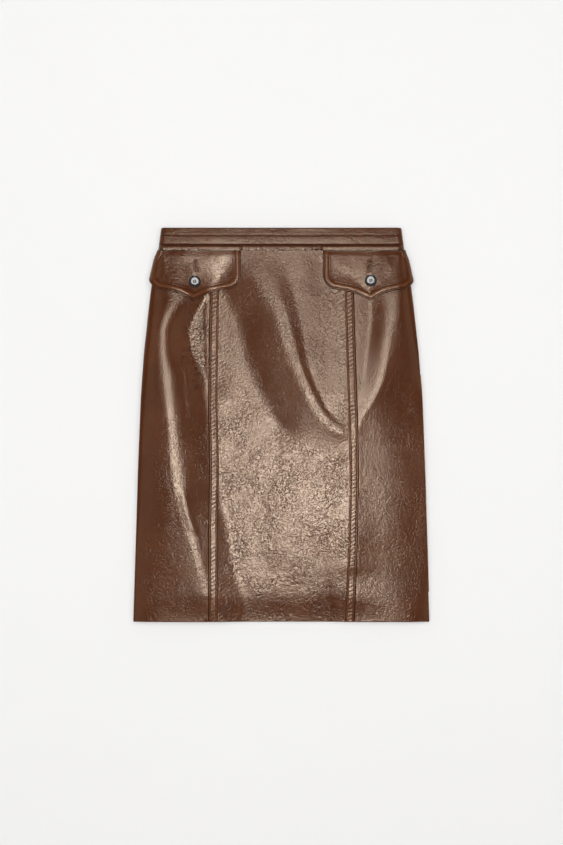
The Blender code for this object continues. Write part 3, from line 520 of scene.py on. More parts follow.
@dataclass(frozen=True)
class Tap:
    """An output socket, so that shader maths reads as Python."""

    writer: Shader
    socket: bpy.types.NodeSocket

    def _math(self, operation: str, first: Tap | float, second: Tap | float = 0.0) -> Tap:
        """One Math node."""
        return self.writer.node("ShaderNodeMath", {"operation": operation}, {0: first, 1: second})

    def __add__(self, other: Tap | float) -> Tap:
        """Sum."""
        return self._math("ADD", self, other)

    def __radd__(self, other: float) -> Tap:
        """Sum, reflected."""
        return self._math("ADD", other, self)

    def __sub__(self, other: Tap | float) -> Tap:
        """Difference."""
        return self._math("SUBTRACT", self, other)

    def __rsub__(self, other: float) -> Tap:
        """Difference, reflected."""
        return self._math("SUBTRACT", other, self)

    def __mul__(self, other: Tap | float) -> Tap:
        """Product."""
        return self._math("MULTIPLY", self, other)

    def __rmul__(self, other: float) -> Tap:
        """Product, reflected."""
        return self._math("MULTIPLY", other, self)

    def __abs__(self) -> Tap:
        """Size without sign."""
        return self._math("ABSOLUTE", self)

    def wave(self) -> Tap:
        """Sine, in radians."""
        return self._math("SINE", self)

    def least(self, other: Tap | float) -> Tap:
        """The smaller of the two."""
        return self._math("MINIMUM", self, other)

    def to_range(self, low: float, high: float, start: float = 0.0, end: float = 1.0) -> Tap:
        """A soft, clamped step of this value between two others."""
        sockets = {"Value": self, "From Min": low, "From Max": high, "To Min": start, "To Max": end}
        settings = {"interpolation_type": "SMOOTHSTEP"}
        return self.writer.node("ShaderNodeMapRange", settings, sockets)


class Shader:
    """Writes the nodes of one material."""

    def __init__(self, name: str) -> None:
        """Starts a material with only its output."""
        self.material = bpy.data.materials.new(name)
        self.material.use_nodes = True
        self.tree = self.material.node_tree
        self.tree.nodes.clear()

    def node(
        self,
        kind: str,
        settings: dict | None = None,
        sockets: dict | None = None,
        out: int | str = 0,
    ) -> Tap:
        """Adds any node.

        Args:
            kind: The node's type.
            settings: Its properties, set before its sockets.
            sockets: Values or links of its input sockets, by name or index.
            out: The output to return.

        Returns:
            The node's output.
        """
        plain = {}
        for key, value in (sockets or {}).items():
            plain[key] = value.socket if isinstance(value, Tap) else value
        return Tap(self, add_node(self.tree, kind, settings, plain).outputs[out])

    def place(self) -> Tap:
        """Object coordinates."""
        return self.node("ShaderNodeTexCoord", out="Object")

    def attribute(self, name: str) -> Tap:
        """A number stored on the piece's points."""
        return self.node("ShaderNodeAttribute", {"attribute_name": name}, out="Fac")

    def scaled(self, vector: Tap, scale: tuple[float, float, float]) -> Tap:
        """Coordinates stretched by axis."""
        return self.node("ShaderNodeVectorMath", {"operation": "MULTIPLY"}, {0: vector, 1: scale})

    def shifted(self, vector: Tap, by: Tap, much: float) -> Tap:
        """Coordinates pushed about by a colour noise."""
        centred = self.node("ShaderNodeVectorMath", {"operation": "SUBTRACT"}, {0: by, 1: (0.5, 0.5, 0.5)})
        push = self.scaled(centred, (much, much, much))
        return self.node("ShaderNodeVectorMath", {"operation": "ADD"}, {0: vector, 1: push})

    def noise(self, vector: Tap, scale: float, detail: float, rough: float, out: str = "Fac") -> Tap:
        """Smooth noise of about 0 to 1, with cells of 1/scale metres."""
        sockets = {"Vector": vector, "Scale": scale, "Detail": detail, "Roughness": rough}
        return self.node("ShaderNodeTexNoise", {}, sockets, out)

    def mix(self, much: Tap | float, first: Tap | tuple, second: Tap | tuple) -> Tap:
        """One colour over another."""
        colours = [(*part, 1.0) if isinstance(part, tuple) else part for part in (first, second)]
        sockets = dict(zip(MIX_INPUTS, (much, *colours), strict=True))
        return self.node("ShaderNodeMix", {"data_type": "RGBA"}, sockets, MIX_RESULT)

    def bump(self, height: Tap) -> Tap:
        """A normal from a height in metres."""
        return self.node("ShaderNodeBump", {}, {"Height": height, "Distance": 1.0, "Strength": 1.0})

    def surface(self, sockets: dict) -> bpy.types.Material:
        """Ends the material in a Principled shader with these sockets."""
        out = self.node("ShaderNodeBsdfPrincipled", {}, sockets)
        add_node(self.tree, "ShaderNodeOutputMaterial", {}, {"Surface": out.socket})
        return self.material


# --- Finishes --------------------------------------------------------------------------------------------


@dataclass(frozen=True)
class GlazedLeather:
    """Smooth brown hide under a high glaze, finely wrinkled where it has been used and folded, its colour
    carrying painted shade in hollows and a painted highlight on raised rims.
    """

    base: tuple[float, float, float] = (0.068, 0.0160, 0.0036)
    # Darker brown of the painted shade in crease lines, pits, gather valleys, seams and grooves.
    deep: tuple[float, float, float] = (0.024, 0.0058, 0.0018)
    warm: tuple[float, float, float] = (0.088, 0.0220, 0.0054)
    # Lighter brown of the painted highlight on raised strips and flap rims.
    wear_and_highlight: tuple[float, float, float] = (0.150, 0.045, 0.0130)
    tint: tuple[float, float, float] = (1.0, 0.81, 0.63)
    glazed: float = 0.145
    dull: float = 0.215
    crease: float = 0.00010
    unevenness: float = 0.00016
    pit: float = 0.00017
    grain: float = 0.00009
    gather_shade: float = 2600.0
    deepest_gather: float = 0.75

    def material(self) -> bpy.types.Material:
        """The hide's outer face, which reads the marks crinkle, gather, phase and terrace, and the marks of
        painted shade and painted highlight.
        """
        made = Shader("glazed_leather")
        place = made.place()
        warped = made.shifted(place, made.noise(place, 60.0, 2.0, 0.5, "Color"), 0.006)
        patches = made.noise(warped, 34.0, 2.0, 0.55).to_range(0.36, 0.60)
        creases = abs(made.noise(warped, 62.0, 2.0, 0.55) - 0.5).to_range(0.0, 0.06)
        uneven = made.noise(made.scaled(warped, (0.8, 1.0, 1.0)), 215.0, 2.0, 0.6)
        pits = made.noise(warped, 380.0, 1.5, 0.5).to_range(0.50, 0.66)
        grain = made.noise(place, 560.0, 1.0, 0.5)
        mask = made.attribute("crinkle")
        shown = mask * (patches * 0.75 + 0.25)
        pucker = made.attribute("phase").wave().to_range(0.05, 0.95)
        gathers = made.attribute("gather") * pucker
        relief = creases * shown * self.crease + uneven * (shown + 0.10) * self.unevenness
        pitted = pits * (shown * 0.85 + 0.15)
        relief = relief + grain * self.grain - pitted * self.pit + gathers + made.attribute("terrace")
        cloudy = made.noise(place, 14.0, 3.0, 0.6)
        colour = made.mix(cloudy.to_range(0.35, 0.75), self.base, self.warm)
        # Painted shade in the crease lines.
        colour = made.mix((1 - creases) * shown * 0.6, colour, self.deep)
        # Painted shade in the pits.
        colour = made.mix(pitted * 0.5, colour, self.deep)
        # Painted highlight on the raised strips and the flap rims.
        colour = made.mix(made.attribute("painted_highlight"), colour, self.wear_and_highlight)
        shade = (made.attribute("gather") * self.gather_shade).least(self.deepest_gather)
        colour = made.mix(shade * pucker, colour, self.deep)
        # Painted shade along seams, stitch grooves, flap edges and buttonholes.
        colour = made.mix(made.attribute("painted_shade"), colour, self.deep)
        pores = made.noise(place, 290.0, 2.0, 0.6).to_range(0.38, 0.66)
        rough = self.glazed + pores * (self.dull - self.glazed) + (cloudy - 0.5) * 0.04
        sockets = {
            "Base Color": colour,
            "Roughness": rough,
            "Normal": made.bump(relief),
            "IOR": 1.5,
            "Specular Tint": (*self.tint, 1.0),
        }
        return made.surface(sockets)


@dataclass(frozen=True)
class FleshSide:
    """The unglazed inner face of the hide, short and napped."""

    base: tuple[float, float, float] = (0.085, 0.040, 0.021)
    pale: tuple[float, float, float] = (0.130, 0.068, 0.039)

    def material(self) -> bpy.types.Material:
        """A matt, fibrous brown."""
        made = Shader("flesh_side")
        place = made.place()
        nap = made.noise(place, 700.0, 4.0, 0.7)
        colour = made.mix(nap.to_range(0.3, 0.7), self.base, self.pale)
        normal = made.bump(nap * 0.00012)
        return made.surface({"Base Color": colour, "Roughness": 0.92, "Normal": normal, "IOR": 1.4})


@dataclass(frozen=True)
class SewingThread:
    """Twisted, lightly waxed thread a shade deeper than the hide."""

    name: str
    base: tuple[float, float, float]
    pale: tuple[float, float, float]
    roughness: float = 0.48

    def material(self) -> bpy.types.Material:
        """Thread with its plies showing as fine unevenness."""
        made = Shader(self.name)
        place = made.place()
        ribs = made.noise(place, 1800.0, 1.0, 0.5)
        colour = made.mix(ribs.to_range(0.35, 0.65), self.base, self.pale)
        normal = made.bump(ribs * 0.00008)
        return made.surface(
            {"Base Color": colour, "Roughness": self.roughness, "Normal": normal, "IOR": 1.45}
        )


@dataclass(frozen=True)
class PolishedButton:
    """Dark cast resin with a faint swirl, polished."""

    base: tuple[float, float, float] = (0.0050, 0.0042, 0.0040)
    swirl: tuple[float, float, float] = (0.0200, 0.0130, 0.0090)

    def material(self) -> bpy.types.Material:
        """Near-black resin, with fine polishing marks."""
        made = Shader("polished_button")
        place = made.place()
        stirred = made.shifted(place, made.noise(place, 160.0, 2.0, 0.5, "Color"), 0.02)
        marks = made.noise(stirred, 130.0, 4.0, 0.6)
        colour = made.mix(marks.to_range(0.45, 0.75), self.base, self.swirl)
        rough = 0.06 + made.noise(place, 600.0, 2.0, 0.5) * 0.05
        return made.surface(
            {"Base Color": colour, "Roughness": rough, "Normal": made.bump(marks * 0.00001), "IOR": 1.75}
        )


@dataclass(frozen=True)
class WovenTape:
    """The zip's tape: a tight brown weave."""

    base: tuple[float, float, float] = (0.040, 0.018, 0.010)
    pale: tuple[float, float, float] = (0.080, 0.040, 0.024)
    thread: float = 0.0006

    def material(self) -> bpy.types.Material:
        """A herringbone of fine threads."""
        made = Shader("woven_tape")
        place = made.place()
        split = made.node("ShaderNodeSeparateXYZ", {}, {0: place}, "X")
        up = made.node("ShaderNodeSeparateXYZ", {}, {0: place}, "Y")
        turn = 2 * math.pi / self.thread
        twill = (split * turn + up * (0.5 * turn)).wave() * 0.5 + 0.5
        weft = (up * turn).wave() * 0.5 + 0.5
        weave = twill * 0.65 + weft * 0.35
        colour = made.mix(weave.to_range(0.2, 0.8), self.base, self.pale)
        return made.surface(
            {"Base Color": colour, "Roughness": 0.85, "Normal": made.bump(weave * 0.00010), "IOR": 1.45}
        )


@dataclass(frozen=True)
class EnamelledMetal:
    """Painted zip metal, scuffed a little at its edges."""

    base: tuple[float, float, float] = (0.060, 0.024, 0.012)
    # Colour of bare metal where the enamel is scuffed through.
    wear_and_highlight: tuple[float, float, float] = (0.200, 0.130, 0.080)

    def material(self) -> bpy.types.Material:
        """Brown enamel over metal."""
        made = Shader("enamelled_metal")
        place = made.place()
        patches = made.noise(place, 700.0, 3.0, 0.6)
        colour = made.mix(patches.to_range(0.62, 0.72), self.base, self.wear_and_highlight)
        rough = 0.28 + made.noise(place, 1500.0, 2.0, 0.5) * 0.15
        return made.surface(
            {
                "Base Color": colour,
                "Roughness": rough,
                "Metallic": patches.to_range(0.60, 0.72, 0.35, 0.9),
                "Normal": made.bump(patches * 0.00003),
                "IOR": 1.5,
            }
        )


@dataclass(frozen=True)
class StudioFloor:
    """A plain, pale, matt surface."""

    base: tuple[float, float, float] = (0.86, 0.86, 0.86)
    far: tuple[float, float] = (1.7, 4.6)
    far_light: tuple[float, float, float] = (0.50, 0.50, 0.50)

    def material(self) -> bpy.types.Material:
        """Matt paint with the least unevenness."""
        made = Shader("studio_floor")
        cloud = made.noise(made.place(), 1.3, 2.0, 0.5)
        colour = made.mix(cloud.to_range(0.2, 0.8), self.base, tuple(0.99 * part for part in self.base))
        far = made.node("ShaderNodeVectorMath", {"operation": "LENGTH"}, {0: made.place()}, "Value")
        glow = made.mix(far.to_range(*self.far), (0.0, 0.0, 0.0), self.far_light)
        sockets = {"Base Color": colour, "Roughness": 0.9, "Specular IOR Level": 0.1}
        return made.surface({**sockets, "Emission Color": glow, "Emission Strength": 1.0})


@dataclass
class Wardrobe:
    """Every finish of the garment, made once."""

    leather: bpy.types.Material = field(init=False)
    flesh: bpy.types.Material = field(init=False)
    thread: bpy.types.Material = field(init=False)
    dark_thread: bpy.types.Material = field(init=False)
    button: bpy.types.Material = field(init=False)
    tape: bpy.types.Material = field(init=False)
    metal: bpy.types.Material = field(init=False)

    def __post_init__(self) -> None:
        """Makes the materials."""
        self.leather = GlazedLeather().material()
        self.flesh = FleshSide().material()
        brown = SewingThread("brown_thread", (0.050, 0.016, 0.008), (0.105, 0.040, 0.019))
        dark = SewingThread("dark_thread", (0.016, 0.007, 0.004), (0.040, 0.018, 0.010))
        self.thread = brown.material()
        self.dark_thread = dark.material()
        self.button = PolishedButton().material()
        self.tape = WovenTape().material()
        self.metal = EnamelledMetal().material()


# --- Shells ----------------------------------------------------------------------------------------------


@dataclass
class Shell:
    """A closed thin shell between two grids of points.

    Attributes:
        name: The piece's name.
        outer: Grid of the face that shows, rows by columns by three.
        inner: Grid of the face inside.
        way: 1 where the outer face looks out with its columns to the right and its rows upwards, or -1.
        marks: Numbers stored on the points, by attribute name.
        kept: Which cells are there; a missing one is a hole through the shell.
    """

    name: str
    outer: Grid
    inner: Grid
    way: int
    marks: dict[str, Grid] = field(default_factory=dict)
    kept: Grid | None = None

    def mesh(self, materials: list[bpy.types.Material]) -> bpy.types.Object:
        """Makes the shell's object, with its inner face in the second material."""
        rows, columns = self.outer.shape[:2]
        kept = np.ones((rows - 1, columns - 1), bool) if self.kept is None else self.kept
        index = np.arange(rows * columns).reshape(rows, columns)
        ring = np.stack([index[:-1, :-1], index[:-1, 1:], index[1:, 1:], index[1:, :-1]], axis=2)[kept]
        under = ring[:, ::-1] + rows * columns
        padded = np.zeros((rows + 1, columns + 1), bool)
        padded[1:-1, 1:-1] = kept
        corners = ((0, 0), (0, 1), (1, 1), (1, 0))
        beyond = ((-1, 0), (0, 1), (1, 0), (0, -1))
        rims = []
        for side, (down, along) in enumerate(beyond):
            open_side = kept & ~padded[1 + down : rows + down, 1 + along : columns + along]
            row, column = np.nonzero(open_side)
            first = index[row + corners[side][0], column + corners[side][1]]
            after = corners[(side + 1) % 4]
            second = index[row + after[0], column + after[1]]
            rims.append(np.stack([second, first, first + rows * columns, second + rows * columns], axis=1))
        rim = np.concatenate(rims)
        quads = np.concatenate([ring, rim, under])
        if self.way < 0:
            quads = quads[:, ::-1]
        points = np.concatenate([self.outer.reshape(-1, 3), self.inner.reshape(-1, 3)])
        used = np.zeros(len(points), bool)
        used[quads] = True
        number = np.cumsum(used) - 1
        quads = number[quads]
        data = bpy.data.meshes.new(self.name)
        data.vertices.add(int(used.sum()))
        data.vertices.foreach_set("co", points[used].ravel())
        data.loops.add(quads.size)
        data.loops.foreach_set("vertex_index", quads.ravel())
        data.polygons.add(len(quads))
        data.polygons.foreach_set("loop_start", np.arange(0, quads.size, 4))
        inside = np.zeros(len(quads), int)
        inside[len(ring) + len(rim) :] = 1
        for material in materials:
            data.materials.append(material)
        data.polygons.foreach_set("material_index", inside)
        for name, values in self.marks.items():
            both = np.concatenate([values.ravel(), values.ravel()])[used]
            data.attributes.new(name, "FLOAT", "POINT").data.foreach_set("value", both.astype(float))
        data.update(calc_edges=True)
        data.validate()
        data.shade_smooth()
        data.set_sharp_from_angle(angle=math.radians(55))
        return add_object(self.name, data)


def grid_normals(grid: Grid, way: int) -> Grid:
    """A unit normal for each point of a grid; way is 1 where its columns run to +X and its rows to +Y."""
    down = np.gradient(grid, axis=0)
    along = np.gradient(grid, axis=1)
    normals = way * np.cross(along, down)
    return normals / np.linalg.norm(normals, axis=2, keepdims=True)


def squared(normals: Grid, part: tuple, axis: int) -> None:
    """Turns an edge's normals square to an axis, so that the edge meets its neighbour."""
    edge = normals[part]
    edge[..., axis] = 0
    normals[part] = edge / np.linalg.norm(edge, axis=-1, keepdims=True)


def graded(length: float, dense: tuple[float, ...], step: float) -> Grid:
    """Places from 0 to a length: the dense places from both ends, and a step apart between them."""
    ends = np.array(dense)
    count = max(2, round((length - 2 * ends[-1]) / step) + 1)
    between = np.linspace(ends[-1], length - ends[-1], count)[1:-1]
    return np.concatenate([ends, between, (length - ends)[::-1]])


def share_of(piece: Shell) -> float:
    """Half the area of a shell's two faces, in square metres."""
    total = 0.0
    for grid in (piece.outer, piece.inner):
        across = np.cross(grid[1:, 1:] - grid[:-1, :-1], grid[:-1, 1:] - grid[1:, :-1])
        total += 0.5 * float(np.linalg.norm(across, axis=2).sum())
    return total / 2


# --- Stitching -------------------------------------------------------------------------------------------


@dataclass(frozen=True)
class StitchSize:
    """The make of one kind of stitch."""

    pitch: float
    length: float
    width: float
    height: float


TOPSTITCH = StitchSize(0.0031, 0.0027, 0.00050, 0.00042)
WHIPSTITCH = StitchSize(0.00062, 0.0012, 0.00036, 0.00018)


class StitchNodes:
    """The Geometry Nodes that sew stitches along lines."""

    def __init__(self) -> None:
        """Builds the tree."""
        self.tree = bpy.data.node_groups.new("sewn_stitches", "GeometryNodeTree")
        self.ids: dict[str, str] = {}
        sockets = self.tree.interface
        for name, kind in (
            ("Lines", "NodeSocketGeometry"),
            ("Pitch", "NodeSocketFloat"),
            ("Stitch Length", "NodeSocketFloat"),
            ("Stitch Width", "NodeSocketFloat"),
            ("Stitch Height", "NodeSocketFloat"),
            ("Turn", "NodeSocketFloat"),
            ("Thread", "NodeSocketMaterial"),
        ):
            made = sockets.new_socket(name, in_out="INPUT", socket_type=kind)
            self.ids[name] = made.identifier
        sockets.new_socket("Stitches", in_out="OUTPUT", socket_type="NodeSocketGeometry")
        self._write()

    def _node(self, kind: str, settings: dict | None = None, sockets: dict | None = None) -> bpy.types.Node:
        """Adds a node to this tree."""
        return add_node(self.tree, kind, settings, sockets)

    def _write(self) -> None:
        """Resamples the lines, lays a bent, tapered stitch at each point and gives it its thread."""
        entry = self._node("NodeGroupInput").outputs
        lines = self._node("GeometryNodeMeshToCurve", {}, {"Mesh": entry["Lines"]})
        spaced = self._node(
            "GeometryNodeResampleCurve",
            {"mode": "LENGTH"},
            {"Curve": lines.outputs[0], "Length": entry["Pitch"]},
        )
        up = self._node("GeometryNodeInputNamedAttribute", {"data_type": "FLOAT_VECTOR"}, {"Name": "up"})
        tangent = self._node("GeometryNodeInputTangent")
        stood = self._node("FunctionNodeAlignRotationToVector", {"axis": "Z"}, {"Vector": up.outputs[0]})
        turned = self._node(
            "FunctionNodeAlignRotationToVector",
            {"axis": "X", "pivot_axis": "Z"},
            {"Rotation": stood.outputs[0], "Vector": tangent.outputs[0]},
        )
        turn = self._node("FunctionNodeAxisAngleToRotation", {}, {"Axis": (0, 0, 1), "Angle": entry["Turn"]})
        spun = self._node(
            "FunctionNodeRotateRotation",
            {"rotation_space": "LOCAL"},
            {0: turned.outputs[0], 1: turn.outputs[0]},
        )
        arc = self._node(
            "GeometryNodeCurveQuadraticBezier",
            {},
            {"Resolution": 4, "Start": (-0.5, 0, -0.9), "Middle": (0, 0, 1.15), "End": (0.5, 0, -0.9)},
        )
        ring = self._node(
            "GeometryNodeCurvePrimitiveCircle",
            {"mode": "RADIUS"},
            {"Resolution": 6, "Radius": 0.5},
        )
        tube = self._node(
            "GeometryNodeCurveToMesh",
            {},
            {"Curve": arc.outputs[0], "Profile Curve": ring.outputs[0], "Fill Caps": True},
        )
        size = self._node(
            "ShaderNodeCombineXYZ",
            {},
            {"X": entry["Stitch Length"], "Y": entry["Stitch Width"], "Z": entry["Stitch Height"]},
        )
        jitter = self._node(
            "FunctionNodeRandomValue",
            {"data_type": "FLOAT_VECTOR"},
            {0: (0.92, 0.92, 0.9), 1: (1.04, 1.06, 1.05), "Seed": 7},
        )
        scale = self._node(
            "ShaderNodeVectorMath", {"operation": "MULTIPLY"}, {0: size.outputs[0], 1: jitter.outputs[0]}
        )
        laid = self._node(
            "GeometryNodeInstanceOnPoints",
            {},
            {
                "Points": spaced.outputs[0],
                "Instance": tube.outputs[0],
                "Rotation": spun.outputs[0],
                "Scale": scale.outputs[0],
            },
        )
        real = self._node("GeometryNodeRealizeInstances", {}, {0: laid.outputs[0]})
        smooth = self._node("GeometryNodeSetShadeSmooth", {}, {0: real.outputs[0]})
        dressed = self._node(
            "GeometryNodeSetMaterial", {}, {"Geometry": smooth.outputs[0], "Material": entry["Thread"]}
        )
        self._node("NodeGroupOutput", {}, {0: dressed.outputs[0]})

    def sew(
        self,
        name: str,
        lines: list[tuple[Grid, Grid]],
        size: StitchSize,
        lay: Lay,
        thread: bpy.types.Material,
    ) -> bpy.types.Object:
        """Sews stitches along lines.

        Args:
            name: The finished piece's name.
            lines: Points of each line and the cloth's normal at each.
            size: The make of the stitch.
            lay: Whether a stitch lies along or across its line.
            thread: The thread's material.

        Returns:
            One plain mesh of all the stitches.
        """
        guide = bpy.data.meshes.new(f"{name}_guide")
        points = np.concatenate([line for line, _ in lines])
        ups = np.concatenate([up for _, up in lines])
        edges, start = [], 0
        for line, _ in lines:
            edges += [(start + i, start + i + 1) for i in range(len(line) - 1)]
            start += len(line)
        guide.from_pydata(points.tolist(), edges, [])
        guide.attributes.new("up", "FLOAT_VECTOR", "POINT").data.foreach_set("vector", ups.ravel())
        made = add_object(name, guide)
        change = made.modifiers.new("stitches", "NODES")
        change.node_group = self.tree
        change[self.ids["Pitch"]] = size.pitch
        change[self.ids["Stitch Length"]] = size.length
        change[self.ids["Stitch Width"]] = size.width
        change[self.ids["Stitch Height"]] = size.height
        change[self.ids["Turn"]] = lay.value
        change[self.ids["Thread"]] = thread
        bpy.context.view_layer.update()
        evaluated = made.evaluated_get(bpy.context.evaluated_depsgraph_get())
        mesh = bpy.data.meshes.new_from_object(evaluated)
        made.modifiers.remove(change)
        made.data = mesh
        mesh.name = name
        return made


# --- The long panels -------------------------------------------------------------------------------------


@dataclass
class Panels:
    """The three front panels and the two back ones."""

    tube: Tube
    wardrobe: Wardrobe
    hem_turn: float = 0.035
    hem_round: float = 0.0011
    strip_width: float = 0.0118
    strip_rise: float = 0.0004
    strip_wall: float = 0.0024
    strip_step: float = 0.0013
    strip_fade: float = 0.008
    stitch_rows: tuple[float, float] = (0.0021, 0.0108)
    stitch_groove: float = 0.00028
    groove_half: float = 0.0009
    row_step: float = 0.0020
    column_step: float = 0.0021
    back_step: float = 0.0040
    side_roll: float = 0.012
    seam_round: float = 0.0009
    gather_pitch: float = 0.0062
    gather_height: float = 0.00034
    gather_slant: float = 0.55
    terrace_share: float = 0.9
    terrace_reach: float = 0.004
    stitch_lines: list[tuple[Grid, Grid]] = field(default_factory=list)

    def rows(self, step: float) -> Grid:
        """The heights of a panel's rows of points, from the hem up to the waist seam."""
        top = WAIST_SEAM_Y - SEAM_GAP / 2
        hem = HEM_Y + np.array([0, 0.0001, 0.0003, 0.0006, 0.0011, 0.0018, 0.0028])
        count = round((top - hem[-1]) / step)
        return np.concatenate([hem, np.linspace(hem[-1], top, count + 1)[1:]])

    def wall(self, y: Grid) -> Grid:
        """The wall's thickness: doubled where the hem is turned up."""
        return LEATHER + (DOUBLED - LEATHER) * ease((HEM_Y + self.hem_turn + 0.001 - y) / 0.002)

    def crinkled(self, x: Grid, y: Grid) -> Grid:
        """How strongly the leather is finely wrinkled, from 0 to 1."""
        up, _ = self.tube.slant(x, y)
        flank = ease(up * (1 - up) * 5)
        patches = 0.75 + 0.35 * Wrinkles(41).smooth(x / 0.05, y / 0.05)
        lower = 0.65 + 0.35 * ease((0.06 - y) / 0.12)
        middle = 0.55 + 0.45 * ease((0.13 - np.abs(x)) / 0.03)
        hollow = 1.2 * WRINKLED_HOLLOW.share(x, y)
        return np.clip(patches * lower * middle * (1 - 0.85 * flank) + hollow, 0.06, 1.3)

    def finish_hem(self, outer: Grid, normals: Grid, y: Grid) -> None:
        """Draws the outer surface in at the fold of the hem."""
        outer -= (rounded_edge(y - HEM_Y, self.hem_round) * 0.9)[..., None] * normals

    def dress(self, shell: Shell, node: str, flat: tuple[float, float], rests: list[str]) -> bpy.types.Object:
        """Args:
            shell: The panel's shell.
            node: The CAD node that it stands for.
            flat: The size that it was cut to. Not used.
            rests: What it lies on. Not used.

        Returns:
            The panel.
        """
        made = shell.mesh([self.wardrobe.leather, self.wardrobe.flesh])
        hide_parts(node)
        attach(made, "garment")
        area = round(share_of(shell), 4)
        LOG.info("%s: %d faces, %.4f m2", shell.name, len(made.data.polygons), area)
        return made

    def seam_dip(self, from_seam: Grid) -> Grid:
        """How far a turned edge rounds down into its seam."""
        return rounded_edge(from_seam, self.seam_round) * 0.8

    def centre(self) -> bpy.types.Object:
        """The front centre panel, with a raised, topstitched strip beside each long seam."""
        y = self.rows(self.row_step)
        left = self.tube.long_seam(Side.LEFT, y) + SEAM_GAP / 2
        right = self.tube.long_seam(Side.RIGHT, y) - SEAM_GAP / 2
        near_seam = (0, 0.2, 0.5, 0.9, 1.4, 1.8, 2.1, 2.4, 2.9, 3.7, 4.7, 5.7, 6.7, 7.7, 8.7, 9.6)
        strip_edge = (10.2, 10.5, 10.8, 11.1, 11.4, 11.8, 12.3, 13.0, 14.0, 15.2)
        dense = tuple(0.001 * d for d in near_seam + strip_edge)
        width = float((right - left).mean())
        shares = graded(width, dense, self.column_step) / width
        x = left[:, None] + (right - left)[:, None] * shares
        rows = np.broadcast_to(y[:, None], x.shape)
        from_seam = np.minimum(x - left[:, None], right[:, None] - x)
        fade = ease((WAIST_SEAM_Y - rows) / self.strip_fade)
        on_strip = (1 - ease((from_seam - self.strip_width) / self.strip_step)) * fade
        z = self.tube.front(x, rows) + self.strip_rise * on_strip
        for place in self.stitch_rows:
            z = z - self.stitch_groove * bell(from_seam - place, self.groove_half)
        z = z - self.seam_dip(from_seam)
        outer = np.stack([x, rows, z], axis=2)
        normals = grid_normals(outer, 1)
        squared(normals, FIRST_COLUMN, X_AXIS)
        squared(normals, LAST_COLUMN, X_AXIS)
        squared(normals, LAST_ROW, Y_AXIS)
        self.finish_hem(outer, normals, rows)
        wall = np.maximum(self.wall(rows), LEATHER + (self.strip_wall - LEATHER) * on_strip)
        wall = np.where(from_seam < 0.001, wall * 0.85, wall)
        # Painted shade along the seam and at the outer step of the raised strip.
        painted_shade = 0.55 * bell(from_seam, 0.0012) + 0.15 * bell(from_seam - 0.0128, 0.0016)
        crinkle = self.crinkled(x, rows) * (1 - 0.8 * on_strip)
        gather, phase = self.gathers(from_seam, rows, x)
        # Painted highlight on the raised strip.
        painted_highlight = 0.25 * on_strip * ease((from_seam - 0.0004) / 0.001)
        marks = {"crinkle": crinkle, "gather": gather * fade, "phase": phase, "painted_shade": painted_shade, "painted_highlight": painted_highlight}
        marks["terrace"] = self.terrace(x, rows, left[:, None], right[:, None]) * on_strip
        shell = Shell("front_centre_panel", outer, outer - normals * wall[..., None], 1, marks)
        for place in self.stitch_rows:
            for line_x in (left + place, right - place):
                self.stitch_lines.append(self.on_front(line_x, y, self.strip_rise - self.stitch_groove))
        flat = (round(width + 0.024, 3), round(float(y[-1] - y[0]) + self.hem_turn + 0.01, 3))
        return self.dress(shell, "front_centre", flat, ["back_left", "back_right"])

    def on_front(self, x: Grid, y: Grid, above: float) -> tuple[Grid, Grid]:
        """A line for stitches on the front, and the cloth's normals along it."""
        inside = (y > HEM_Y + 0.002) & (y < WAIST_SEAM_Y - 0.002)
        x, y = x[inside], y[inside]
        z = self.tube.front(x, y) + above
        lean = (self.tube.front(x + 0.001, y) - self.tube.front(x - 0.001, y)) / 0.002
        normals = np.stack([-lean, np.zeros_like(lean), np.ones_like(lean)], axis=1)
        return np.stack([x, y, z], axis=1), normals / np.linalg.norm(normals, axis=1, keepdims=True)

    def gathers(self, from_seam: Grid, y: Grid, x: Grid) -> tuple[Grid, Grid]:
        """The small slanting gathers between the two rows of topstitching.

        Args:
            from_seam: Distance from the nearer long seam.
            y: Heights on the skirt.
            x: Places across it.

        Returns:
            The gathers' height and their phase in radians.
        """
        across = ease((from_seam - 0.0008) / 0.0022) * ease((0.0122 - from_seam) / 0.0022)
        across = across + 0.16 * ease((from_seam - 0.0118) / 0.003) * ease((0.034 - from_seam) / 0.020)
        drift = Wrinkles(71).smooth(x / 0.012, y / 0.017) * 1.9
        phase = 2 * np.pi * (y + self.gather_slant * from_seam * np.sign(x)) / self.gather_pitch + drift
        strength = np.clip(0.75 + 0.9 * Wrinkles(72).smooth(x / 0.03, y / 0.024), 0.2, 1.3)
        return self.gather_height * across * strength, phase

    def terrace(self, x: Grid, y: Grid, left: Grid, right: Grid) -> Grid:
        """How far each strip, stiff with its folded seam, stands level instead of following the slope."""
        middle = np.where(x < 0, left + self.strip_width / 2, right - self.strip_width / 2)
        ahead = self.tube.plain_front(middle + self.terrace_reach, y)
        behind = self.tube.plain_front(middle - self.terrace_reach, y)
        return -self.terrace_share * (ahead - behind) / (2 * self.terrace_reach) * (x - middle)

